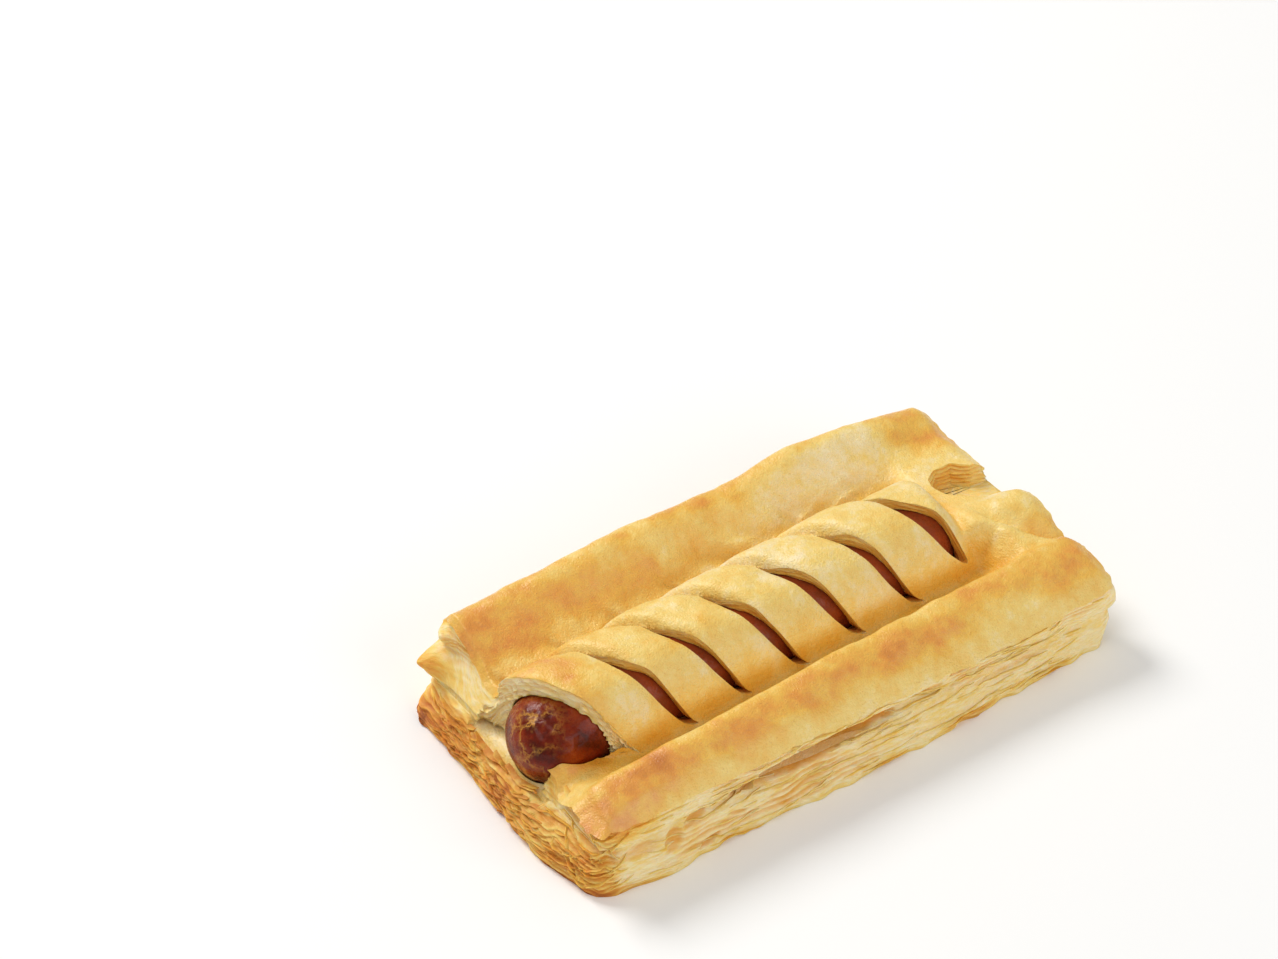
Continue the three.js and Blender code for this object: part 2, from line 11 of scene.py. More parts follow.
import bpy
import numpy as np
from numpy.typing import NDArray
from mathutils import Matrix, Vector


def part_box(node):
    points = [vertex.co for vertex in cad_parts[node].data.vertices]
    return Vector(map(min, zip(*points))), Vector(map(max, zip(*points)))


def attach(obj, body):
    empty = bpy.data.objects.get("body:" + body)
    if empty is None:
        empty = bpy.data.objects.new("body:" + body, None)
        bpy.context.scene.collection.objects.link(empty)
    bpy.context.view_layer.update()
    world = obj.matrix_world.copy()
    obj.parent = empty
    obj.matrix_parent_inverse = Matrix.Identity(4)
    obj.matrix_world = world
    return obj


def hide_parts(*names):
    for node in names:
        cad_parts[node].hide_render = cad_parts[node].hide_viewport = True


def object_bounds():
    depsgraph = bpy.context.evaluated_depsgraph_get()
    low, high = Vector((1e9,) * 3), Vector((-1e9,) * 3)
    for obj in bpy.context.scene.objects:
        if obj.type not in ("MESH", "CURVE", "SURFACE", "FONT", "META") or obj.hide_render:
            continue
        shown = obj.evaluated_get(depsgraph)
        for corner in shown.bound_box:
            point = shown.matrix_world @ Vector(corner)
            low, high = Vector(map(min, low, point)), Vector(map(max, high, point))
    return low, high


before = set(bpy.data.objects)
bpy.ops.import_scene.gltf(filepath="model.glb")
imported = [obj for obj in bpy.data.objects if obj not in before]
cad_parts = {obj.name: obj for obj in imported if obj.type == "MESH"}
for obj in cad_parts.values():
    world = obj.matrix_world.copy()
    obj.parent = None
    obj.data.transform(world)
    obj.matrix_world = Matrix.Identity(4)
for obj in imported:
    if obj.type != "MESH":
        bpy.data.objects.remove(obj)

Array = NDArray[np.float64]
Colour = tuple[float, float, float]
Socket = bpy.types.NodeSocket

MM = 0.001
BODY = "root"
CAD_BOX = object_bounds()
BOX_MARGIN = 0.05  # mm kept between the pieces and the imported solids' box
CUTTER_TOP_Z = 60.0  # mm, clear above everything

log = logging.getLogger("sausage_roll")


# ---- small maths ----------------------------------------------------------------------------------------


def ease(low: float, high: float, t: Array) -> Array:
    """Gives 0 at low, 1 at high and a smooth curve between them.

    Args:
        low: Where the curve starts, which may be the greater of the two.
        high: Where the curve ends.
        t: Values to place on the curve.

    Returns:
        The curve's height at each value.
    """
    share = np.clip((t - low) / (high - low), 0.0, 1.0)
    return share * share * (3.0 - 2.0 * share)


def mix(a: Array, b: Array, t: Array) -> Array:
    """Goes from a to b as t goes from 0 to 1."""
    return a + (b - a) * t


def bell(s: Array) -> Array:
    """A bell curve with its top of 1 at 0."""
    return np.exp(-s * s)


def smooth_max(a: Array, b: Array, softness: float = 1.0) -> Array:
    """The greater of a and b, with the crease between them filled."""
    return np.maximum(a, b) + softness * np.log1p(np.exp(-np.abs(a - b) / softness))


def lattice(i: Array, j: Array, k: Array | float = 0.0) -> Array:
    """A repeatable number from 0 to 1 for each lattice point."""
    n = np.sin(i * 127.1 + j * 311.7 + k * 74.7) * 43758.5453
    return n - np.floor(n)


def noise(x: Array, y: Array, k: Array | float = 0.0) -> Array:
    """Smooth noise from -1 to 1 over a plane, one pattern for each k."""
    i, j = np.floor(x), np.floor(y)
    u, v = ease(0, 1, x - i), ease(0, 1, y - j)
    low = mix(lattice(i, j, k), lattice(i + 1, j, k), u)
    high = mix(lattice(i, j + 1, k), lattice(i + 1, j + 1, k), u)
    return 2.0 * mix(low, high, v) - 1.0


def noise3(x: Array, y: Array, z: Array) -> Array:
    """Smooth noise from -1 to 1 through space."""
    k = np.floor(z)
    return mix(noise(x, y, k), noise(x, y, k + 1), ease(0, 1, z - k))


@dataclass(frozen=True)
class Bumps:
    """Smooth, irregular bumps of one size."""

    height: float
    size_x: float
    size_y: float
    pattern: float = 0.0

    def at(self, x: Array, y: Array) -> Array:
        """Their height at each place."""
        return self.height * noise(x / self.size_x, y / self.size_y, self.pattern)


def bumps_at(bumps: tuple[Bumps, ...], x: Array, y: Array) -> Array:
    """The height of bumps of several sizes together."""
    return sum((b.at(x, y) for b in bumps), np.zeros_like(x))


@dataclass(frozen=True)
class Band:
    """A stretch with soft ends: it rises from start to full, and falls from fades to end."""

    start: float
    full: float
    fades: float
    end: float

    def at(self, t: Array) -> Array:
        """How far each value lies in it, from 0 to 1."""
        return ease(self.start, self.full, t) * ease(self.end, self.fades, t)


# ---- the case's form ------------------------------------------------------------------------------------


class Side(Enum):
    """The four sides of the case."""

    FRONT = "front"
    BACK = "back"
    NEAR = "near"
    FAR = "far"


@dataclass(frozen=True)
class Patch:
    """An oval place with a soft edge, and how strongly it differs from what lies round it."""

    x: float
    y: float
    spread_x: float
    spread_y: float
    strength: float


@dataclass(frozen=True)
class Swell:
    """A stretch of a rim that stands higher or lower."""

    x: float
    rise: float
    spread: float


@dataclass(frozen=True)
class Rim:
    """A puffed ridge along one long side."""

    front_y: float
    back_y: float
    top: float
    inner: float
    outer: float
    swells: tuple[Swell, ...] = ()


@dataclass(frozen=True)
class Bulge:
    """A bulge (+) or hollow (-) of a flaky side."""

    side: Side
    at: float
    spread: float
    z: float
    height: float
    reach: float


@dataclass(frozen=True)
class Pocket:
    """A lens-shaped hole in the near side, where two layers have parted."""

    at: float
    z: float
    half_length: float
    half_height: float
    depth: float
    tilt: float = 0.0


@dataclass(frozen=True)
class Cleft:
    """The line round the side where the two sheets part. It climbs along the near side."""

    z: float = 12.5
    depth: float = 2.0
    above: float = 0.8
    below: float = 2.4
    wave: float = 0.8
    wave_length: float = 14.0
    seed: float = 9.0
    rise: float = 2.0
    fall: float = 4.0
    gape: float = 2.0
    gape_x: float = -10.0
    gape_spread: float = 22.0


@dataclass(frozen=True)
class Panel:
    """The back end's sheet, folded over itself along a slanting crease."""

    crease_x: float = 64.0
    crease_y: float = -12.0
    crease_run: float = 16.0
    crease_rise: float = 17.0
    step: float = 1.4
    step_half_width: float = 0.8
    step_from_x: float = 61.0
    step_full_x: float = 67.0
    z: float = 23.6
    hump: float = 4.2
    hump_y: float = -7.0
    hump_spread: float = 9.0
    near_fall: float = 5.0
    near_fall_y: float = -27.0
    front_x: float = 51.0
    full_x: float = 61.0
    lag: float = 5.0
    lag_from_y: float = -7.0
    lag_full_y: float = -13.0


@dataclass(frozen=True)
class CaseForm:
    """Every height and outline of the baked case."""

    front_x: float = -76.0
    back_x: float = 79.5
    near_y: float = -40.0
    far_y: float = 41.5
    corner_radius: float = 5.0
    near_valley_z: float = 16.0
    far_valley_z: float = 20.0
    lower_sheet_z: float = 10.5
    edge_fall: float = 2.2
    edge_width: float = 4.0
    edge_reach: float = 12.0

    sausage_radius: float = 12.6
    sausage_front_x: float = -77.0
    sausage_back_x: float = 60.0
    sausage_z: float = 18.0
    sausage_axis_y: float = -3.0
    sausage_drift: float = 0.05

    strip_thickness: float = 4.6
    drape_power: float = 3.0
    drape_arc: float = 0.57
    drape_arc_power: float = 5.0
    slit_count: int = 7
    slit_first_x: float = -65.2
    slit_pitch: float = 16.4
    slit_pitch_growth: float = 0.69
    slit_slant: float = 0.54
    slit_near_reach: float = 18.0
    slit_far_reach: float = 13.5
    slit_half_widths: tuple[float, ...] = (2.3, 1.9, 2.2, 2.5, 2.2, 3.9)
    slit_blunt: float = 0.28
    slit_full: float = 0.3
    slit_closed: float = 0.98
    last_slit_near_reach: float = 15.5
    brow_drop: float = 2.2
    first_brow_drop: float = 0.5
    brow_low: float = 0.06
    brow_high: float = 0.27
    tail_drop: float = 1.2
    tail_high: float = 0.55
    tail_low: float = 0.9
    lobe_reach: float = 2.4
    lobe_rise: float = 0.25
    lobe_fall: float = 0.6
    flap_z: float = 20.5
    flap_sink: float = 3.2

    near_rim: Rim = Rim(-29, -25, 26.6, 5.2, 13.4, (Swell(-84, -4, 17),))
    far_swells: tuple[Swell, ...] = (Swell(-16, 2.4, 22), Swell(38, 3.6, 21), Swell(84, -3.5, 13))
    far_rim: Rim = Rim(36.5, 36.5, 29.0, 10.5, 9.5, far_swells)
    cleft: Cleft = Cleft()
    panel: Panel = Panel()
    unevenness: tuple[Bumps, ...] = (Bumps(0.5, 17, 13), Bumps(0.4, 7, 6))
    wrinkles: Patch = Patch(16, 24, 26, 6, 0.5)
    wrinkle_slant: float = 1.6
    wrinkle_length: float = 2.4
    bulges: tuple[Bulge, ...] = (
        Bulge(Side.FRONT, 40, 6, 22.5, 2, 3.6),
        Bulge(Side.FRONT, 40, 8, 17, 2.4, 3),
        Bulge(Side.FRONT, 40, 7, 7.5, 1.8, -3),
        Bulge(Side.FRONT, 41, 9, 2, 3, 2),
        Bulge(Side.FRONT, -18, 27, 2, 9, 6.5),
        Bulge(Side.FRONT, 20, 22, 2, 8, 2.4),
        Bulge(Side.NEAR, -60, 16, 1, 10, 2.8),
        Bulge(Side.NEAR, 0, 48, 1, 10, 3.6),
        Bulge(Side.BACK, -39, 13, 12, 8, 4.6),
        Bulge(Side.BACK, -4, 14, 18, 9, 1.5),
        Bulge(Side.FAR, 20, 40, 4, 9, 1.5),
    )

    @property
    def drape_radius(self) -> float:
        """The outside of the sheet over the sausage."""
        return self.sausage_radius + self.strip_thickness

    def axis_y(self, x: Array) -> Array:
        """Where the sausage's axis lies across the case."""
        return self.sausage_axis_y + self.sausage_drift * (x - self.sausage_front_x)

    def sheet_length(self, across: Array) -> Array:
        """Length of sheet from the crest out to a distance across."""
        radius = self.drape_radius
        share = np.minimum(1.0, np.abs(across) / radius)
        return np.sign(across) * (np.abs(across) + self.drape_arc * radius * share**self.drape_arc_power)

    def sheet_lean(self, across: Array) -> Array:
        """How far a cut square to the sheet leans from upright."""
        share = np.minimum(1.0, np.abs(across) / self.drape_radius)
        return np.sign(across) * np.arctan(self.drape_power * share ** (self.drape_power - 1))

    def slit_x(self, n: int) -> float:
        """Where a slit crosses the sausage's axis."""
        return self.slit_first_x + n * self.slit_pitch + self.slit_pitch_growth * n * (n - 1) / 2

    def slit_at(self, n: int, y: Array) -> Array:
        """Where a slit lies along X at a distance across."""
        return self.slit_x(n) - self.slit_slant * self.sheet_length(y - self.axis_y(self.slit_x(n)))

    def across_strip(self, x: Array, y: Array) -> Array:
        """Share of the way across the strip at each point, 0 and 1 being its two slits."""
        edges = [self.slit_at(n, y) for n in range(self.slit_count)]
        edges.append(edges[-1] + (edges[-1] - edges[-2]))
        share = np.clip((x - edges[0]) / (edges[1] - edges[0]), 0, 1)
        for n in range(1, self.slit_count - 1):
            share = np.where(x > edges[n], np.clip((x - edges[n]) / (edges[n + 1] - edges[n]), 0, 1), share)
        return share

    def valley_height(self, y: Array) -> Array:
        """The top sheet where it dips between a rim and the sausage."""
        return mix(self.near_valley_z, self.far_valley_z, ease(-18, 18, y))

    def strip_relief(self, share: Array, is_first: Array) -> Array:
        """A strip's own relief: a brow in front, rounded but for the first strip's, and a low tail behind."""
        brow = 1 - np.clip((share - self.brow_low) / (self.brow_high - self.brow_low), 0, 1)
        tail = np.clip((share - self.tail_high) / (self.tail_low - self.tail_high), 0, 1)
        drop = np.where(is_first, self.first_brow_drop, self.brow_drop)
        return -drop * (1 - np.sqrt(1 - brow * brow)) - self.tail_drop * tail * tail

    def drape_height(self, x: Array, y: Array) -> Array:
        """The top sheet over the sausage, shaped into strips."""
        share = self.across_strip(x, y)
        lobe = self.lobe_reach * ease(0, self.lobe_rise, share) * ease(1, self.lobe_fall, share)
        from_axis = y - self.axis_y(x)
        across = np.abs(from_axis) / (self.drape_radius + np.where(from_axis > 0, lobe, 0))
        arch = self.sausage_z + self.drape_radius * np.maximum(-1.0, 1.0 - across**self.drape_power)
        past = ease(self.sausage_back_x - 9, self.sausage_back_x + 6, x)
        over = ease(self.slit_near_reach + 1, self.slit_far_reach, across * self.drape_radius)
        relief = self.strip_relief(share, x < self.slit_at(1, y)) * over * (1 - past)
        on_flap = ease(0, -3, x - self.slit_at(0, y)) * ease(0, -6, y - self.axis_y(x))
        flap = self.flap_z - self.flap_sink * ease(-71, -61, x)
        return mix(mix(arch + relief, self.near_valley_z, past), flap, on_flap)

    def rim_height(self, rim: Rim, x: Array, y: Array) -> Array:
        """A long rounded ridge that swells here and there."""
        crest = mix(rim.front_y, rim.back_y, ease(-60, 60, x))
        width = np.where((y - crest) * math.copysign(1, rim.front_y) > 0, rim.outer, rim.inner)
        swelling = sum((s.rise * bell((x - s.x) / s.spread) for s in rim.swells), np.zeros_like(x))
        foot = self.valley_height(y)
        return foot + (rim.top + swelling - foot) * bell((y - crest) / width)

    def panel_height(self, x: Array, y: Array) -> Array:
        """Height of the back end's folded sheet."""
        p = self.panel
        past_crease = (x - p.crease_x) * -p.crease_run - (y - p.crease_y) * p.crease_rise
        distance = past_crease / math.hypot(p.crease_rise, p.crease_run)
        step = p.step * ease(-p.step_half_width, p.step_half_width, distance)
        step = step * ease(p.step_from_x, p.step_full_x, x)
        hump = p.hump * bell((y - p.hump_y) / p.hump_spread)
        full = p.z + hump + step - p.near_fall * ease(p.near_fall_y, self.near_y, y)
        lag = p.lag * ease(p.lag_from_y, p.lag_full_y, y)
        return mix(self.near_valley_z, full, ease(p.front_x, p.full_x, x - lag))

    def top_height(self, x: Array, y: Array) -> Array:
        """The top skin's height."""
        z = smooth_max(self.rim_height(self.near_rim, x, y), self.rim_height(self.far_rim, x, y))
        z = smooth_max(z, self.panel_height(x, y))
        z = smooth_max(z, self.drape_height(x, y))
        wrinkled = self.wrinkles.strength * bell((y - self.wrinkles.y) / self.wrinkles.spread_y)
        wrinkled = wrinkled * bell((x - self.wrinkles.x) / self.wrinkles.spread_x)
        for bumps in self.unevenness:
            z = z + bumps.at(x, y)
        return z + wrinkled * np.sin((x + self.wrinkle_slant * y) / self.wrinkle_length)

    def inset(self, plain_x: Array, plain_y: Array) -> Array:
        """How far points of the plain plan lie in from its outline."""
        return np.minimum(
            np.minimum(plain_x - self.front_x, self.back_x - plain_x),
            np.minimum(plain_y - self.near_y, self.far_y - plain_y),
        )

    def cleft_height(self, x: Array, y: Array) -> Array:
        """Height of the cleft round the side."""
        climb = self.cleft.rise * ease(-34, -12, x) - self.cleft.fall * ease(0, 60, x)
        return self.cleft.z + climb * ease(-18, -38, y)

    def side_reach(self, side: Side, x: Array, y: Array, z: Array) -> Array:
        """How far one side stands out from the plain outline."""
        along = x if side in (Side.NEAR, Side.FAR) else y
        reach = np.zeros_like(z)
        wave = self.cleft.wave * noise(along / self.cleft.wave_length, np.full_like(along, self.cleft.seed))
        from_cleft = z - self.cleft_height(x, y) - wave
        depth = np.full_like(z, self.cleft.depth)
        if side is Side.NEAR:
            depth += self.cleft.gape * bell((along - self.cleft.gape_x) / self.cleft.gape_spread)
        reach -= depth * bell(from_cleft / np.where(from_cleft > 0, self.cleft.above, self.cleft.below))
        for b in self.bulges:
            if b.side is side:
                reach += b.reach * bell((along - b.at) / b.spread) * bell((z - b.z) / b.height)
        if side is Side.FRONT:
            layer = bell((along - 41) / 5) * ease(21, 16, z)
            reach -= 7.5 * ease(9, 22, z) * ease(10, 15, along) * (1 - layer)
            reach -= 3.4 * ease(10, 15, z) * ease(-38, -14, along) * ease(0, -8, along)
        return reach

    def round_corner(self, x: Array, y: Array) -> tuple[Array, Array]:
        """Draws the rectangle's corner squares in to quarter discs; every other point stays."""
        r = self.corner_radius
        a = np.maximum(0, np.maximum(self.front_x + r - x, x - self.back_x + r)) / r
        b = np.maximum(0, np.maximum(self.near_y + r - y, y - self.far_y + r)) / r
        in_x = r * a * (1 - np.sqrt(1 - b * b / 2))
        in_y = r * b * (1 - np.sqrt(1 - a * a / 2))
        return x - np.sign(x) * in_x, y - np.sign(y) * in_y

    def outward(self, x: Array, y: Array) -> tuple[Array, Array]:
        """The plain outline's outward normal at points on it."""
        r = self.corner_radius
        a = np.maximum(0, np.maximum(self.front_x + r - x, x - self.back_x + r)) / r * np.sign(x)
        b = np.maximum(0, np.maximum(self.near_y + r - y, y - self.far_y + r)) / r * np.sign(y)
        length = np.maximum(np.hypot(a, b), 1e-6)
        return a / length, b / length

    def place_in_plan(self, plain_x: Array, plain_y: Array, z: Array | None = None) -> tuple[Array, Array]:
        """Moves points of the plain plan out with the sides' relief.

        Args:
            plain_x: Places along the case.
            plain_y: Places across it.
            z: Heights at which the relief is read, or None for the top edge's height.

        Returns:
            The moved places. The move fades towards the middle of the case.
        """
        x, y = self.round_corner(plain_x, plain_y)

        def move(side: Side, inset: Array, edge_x: Array, edge_y: Array) -> Array:
            """How far one side's relief moves each point."""
            at = z if z is not None else self.top_height(edge_x, edge_y) - self.edge_fall
            fade = np.clip(1 - inset / self.edge_reach, 0, 1)
            return np.where(fade > 0, fade * self.side_reach(side, edge_x, edge_y, at), 0.0)

        back = np.full_like(x, self.back_x)
        front = np.full_like(x, self.front_x)
        far = np.full_like(y, self.far_y)
        near = np.full_like(y, self.near_y)
        dx = move(Side.BACK, self.back_x - plain_x, back, y)
        dx = dx - move(Side.FRONT, plain_x - self.front_x, front, y)
        dy = move(Side.FAR, self.far_y - plain_y, x, far)
        dy = dy - move(Side.NEAR, plain_y - self.near_y, x, near)
        return x + dx, y + dy


# ---- layers at a baked side -----------------------------------------------------------------------------


@dataclass(frozen=True)
class Lamination:
    """How the thin layers show where the dough was cut and has puffed."""

    pitch: float = 1.3
    warp: float = 2.4
    warp_length: float = 30.0
    ripple: float = 0.7
    ripple_length: float = 8.0
    lip: float = 0.8
    sway: float = 0.9
    edge: float = 0.26
    seed: float = 0.0

    def stack(self, x: Array, y: Array, z: Array) -> Array:
        """Layer number at each point; whole numbers lie between two layers."""
        warp = self.warp * noise3(x / self.warp_length + self.seed, y / self.warp_length, z / 9)
        ripple = self.ripple * noise3(x / self.ripple_length, y / self.ripple_length + self.seed, z / 3.5)
        return (z + warp + ripple) / self.pitch

    def relief(self, x: Array, y: Array, z: Array, loose: Array) -> tuple[Array, Array]:
        """Reads how far the layers stand out.

        Args:
            x: Places along the case.
            y: Places across it.
            z: Heights, measured square to the layers.
            loose: 0 where the layers hold together, 1 where they have parted.

        Returns:
            The reach outwards, and how hollow each point is, from 0 to 1, which the finishes darken as
            painted shade.
        """
        stack = self.stack(x, y, z)
        number = np.floor(stack)
        within = stack - number
        edge = bell((within - 0.5) / self.edge)
        sway = noise3(x / 9 + self.seed, y / 9, number * 3.7) + 0.6 * noise3(x / 3.5, y / 3.5, number * 5.3)
        held = mix(0.12, 1.0, loose)
        reach = self.lip * held * (edge * (0.6 + 0.4 * sway) - 0.5) + self.sway * held * (0.5 * sway - 0.1)
        # The hollow mask: the finish darkens it as painted shade between the layers.
        hollow = np.clip((1 - edge) * mix(0.1, 0.8, loose) + np.clip(-sway, 0, 1) * 0.6 * loose, 0, 1)
        return reach, hollow


# ---- meshes by hand -------------------------------------------------------------------------------------


def activate(obj: bpy.types.Object) -> None:
    """Selects one object alone and makes it the active one."""
    bpy.ops.object.select_all(action="DESELECT")
    obj.select_set(True)
    bpy.context.view_layer.objects.active = obj


def points_of(obj: bpy.types.Object) -> Array:
    """The mesh's points, one row each."""
    flat = np.empty(len(obj.data.vertices) * 3)
    obj.data.vertices.foreach_get("co", flat)
    return flat.reshape(-1, 3)


def move_points(obj: bpy.types.Object, points: Array) -> None:
    """Puts the mesh's points at new places."""
    obj.data.vertices.foreach_set("co", points.astype(np.float32).ravel())
    obj.data.update()


def store(obj: bpy.types.Object, name: str, values: Array) -> None:
    """Keeps a number for each point under a name that the finishes read."""
    layer = obj.data.attributes.get(name) or obj.data.attributes.new(name, "FLOAT", "POINT")
    layer.data.foreach_set("value", values.astype(np.float32))


def stored(obj: bpy.types.Object, name: str) -> Array:
    """Reads back the numbers kept under a name."""
    values = np.empty(len(obj.data.vertices))
    obj.data.attributes[name].data.foreach_get("value", values)
    return values


def name_as(obj: bpy.types.Object, name: str) -> bpy.types.Object:
    """Gives an object and its mesh one name."""
    obj.name = name
    obj.data.name = name
    return obj


@dataclass
class Block:
    """A grid drawn down round its edge into a closed block, with each point's place in it.

    u and v run from 0 to 1 over the grid. level is 0 on the top and 1 to levels down the side. core is how
    far a point of the underside lies towards the middle.
    """

    obj: bpy.types.Object
    levels: int
    u: Array
    v: Array
    level: Array
    core: Array

    @classmethod
    def add(cls, name: str, columns: int, rows: int, levels: int) -> "Block":
        """Adds the block.

        Args:
            name: The object's name.
            columns: Cells along X.
            rows: Cells across Y.
            levels: Rings of faces down the side.

        Returns:
            The block, two units square and unshaped.
        """
        bpy.ops.object.select_all(action="DESELECT")
        bpy.ops.mesh.primitive_grid_add(x_subdivisions=columns, y_subdivisions=rows, size=2)
        obj = name_as(bpy.context.object, name)
        bpy.ops.object.mode_set(mode="EDIT")
        bpy.ops.mesh.select_all(action="SELECT")
        bpy.ops.mesh.region_to_loop()
        for _ in range(levels):
            bpy.ops.mesh.extrude_region_move(TRANSFORM_OT_translate={"value": (0, 0, -1)})
        bpy.ops.mesh.extrude_region_move(TRANSFORM_OT_translate={"value": (0, 0, -0.25)})
        bpy.ops.transform.resize(value=(0.5, 0.5, 1))
        bpy.ops.mesh.extrude_region_move(TRANSFORM_OT_translate={"value": (0, 0, -0.25)})
        bpy.ops.mesh.merge(type="CENTER")
        bpy.ops.mesh.select_all(action="SELECT")
        bpy.ops.mesh.normals_make_consistent(inside=False)
        bpy.ops.object.mode_set(mode="OBJECT")
        x, y, z = points_of(obj).T
        level = np.minimum(np.round(-z - 0.01), levels)
        core = np.where(-z > levels + 0.4, 1.0, np.where(-z > levels + 0.1, 0.5, 0.0))
        scale = np.where(core == 0.5, 2.0, 1.0)
        return cls(obj, levels, (x * scale + 1) / 2, (y * scale + 1) / 2, level, core)


@dataclass
class Tower:
    """A closed prism of many sides and floors, with each point's place in it."""

    obj: bpy.types.Object
    share: Array
    floor: Array

    @classmethod
    def add(cls, name: str, sides: int, floors: int) -> "Tower":
        """Adds the tower.

        Args:
            name: The object's name.
            sides: Corners round its outline.
            floors: Rings of faces up its side.

        Returns:
            The tower. share runs from 0 to 1 round the outline, and floor from 0 at the foot to 1 at the top.
        """
        bpy.ops.object.select_all(action="DESELECT")
        bpy.ops.mesh.primitive_circle_add(vertices=sides, radius=1, fill_type="NGON")
        obj = name_as(bpy.context.object, name)
        bpy.ops.object.mode_set(mode="EDIT")
        bpy.ops.mesh.select_all(action="SELECT")
        for _ in range(floors):
            bpy.ops.mesh.extrude_region_move(TRANSFORM_OT_translate={"value": (0, 0, 1)})
        bpy.ops.object.mode_set(mode="OBJECT")
        x, y, z = points_of(obj).T
        turn = np.mod(np.arctan2(y, x) / (2 * np.pi), 1.0)
        return cls(obj, np.round(turn * sides) / sides % 1.0, z / floors)

    def corners(self, count: int) -> Array:
        """Which of an outline's corners each point stands on."""
        return np.round(self.share * count).astype(int) % count

    def close(self, points: Array) -> bpy.types.Object:
        """Puts the shaped points in and turns every face outwards."""
        move_points(self.obj, points)
        return turn_outwards(self.obj)


def turn_outwards(obj: bpy.types.Object) -> bpy.types.Object:
    """Turns every face of a closed mesh outwards."""
    activate(obj)
    bpy.ops.object.mode_set(mode="EDIT")
    bpy.ops.mesh.select_all(action="SELECT")
    bpy.ops.mesh.normals_make_consistent(inside=False)
    bpy.ops.object.mode_set(mode="OBJECT")
    return obj


def apply_modifiers(obj: bpy.types.Object) -> None:
    """Applies every modifier in its order."""
    activate(obj)
    for modifier in list(obj.modifiers):
        bpy.ops.object.modifier_apply(modifier=modifier.name)


def carve(body: bpy.types.Object, cutter: bpy.types.Object, keep_cutter: bool = False) -> None:
    """Cuts one closed mesh out of another and clears the cutter away."""
    modifier = body.modifiers.new("carve", "BOOLEAN")
    modifier.operation = "DIFFERENCE"
    modifier.solver = "MANIFOLD"
    modifier.object = cutter
    apply_modifiers(body)
    if not keep_cutter:
        bpy.data.objects.remove(cutter)


def keep_largest(obj: bpy.types.Object) -> bpy.types.Object:
    """Drops the loose bits that carving left behind."""
    activate(obj)
    bpy.ops.object.mode_set(mode="EDIT")
    bpy.ops.mesh.select_all(action="SELECT")
    bpy.ops.mesh.separate(type="LOOSE")
    bpy.ops.object.mode_set(mode="OBJECT")
    pieces = sorted(bpy.context.selected_objects, key=lambda piece: len(piece.data.vertices))
    kept = pieces.pop()
    name = obj.name
    for piece in pieces:
        bpy.data.objects.remove(piece)
    return name_as(kept, name)


def frame_shift(form: CaseForm) -> Array:
    """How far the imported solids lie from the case's own frame, in millimetres."""
    low, high = (np.array(corner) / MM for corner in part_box("sausage"))
    middle_x = (form.sausage_front_x + form.sausage_back_x) / 2
    return np.array([low[0] - form.sausage_front_x, (low[1] + high[1]) / 2 - form.axis_y(middle_x), 0.0])


def finish_piece(
    obj: bpy.types.Object, form: CaseForm, node: str, smooth_angle: float = 40.0
) -> None:
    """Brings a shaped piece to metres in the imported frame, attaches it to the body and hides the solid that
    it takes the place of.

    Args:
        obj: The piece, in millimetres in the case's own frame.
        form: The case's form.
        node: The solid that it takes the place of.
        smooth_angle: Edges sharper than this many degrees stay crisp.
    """
    points = (points_of(obj) + frame_shift(form)) * MM
    low, high = (np.array(corner) for corner in CAD_BOX)
    margin = BOX_MARGIN * MM
    move_points(obj, np.clip(points, low + margin, high - margin))
    activate(obj)
    bpy.ops.object.shade_smooth_by_angle(angle=math.radians(smooth_angle))
    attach(obj, BODY)
    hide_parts(node)
    log.info("%s: %d faces", obj.name, len(obj.data.polygons))
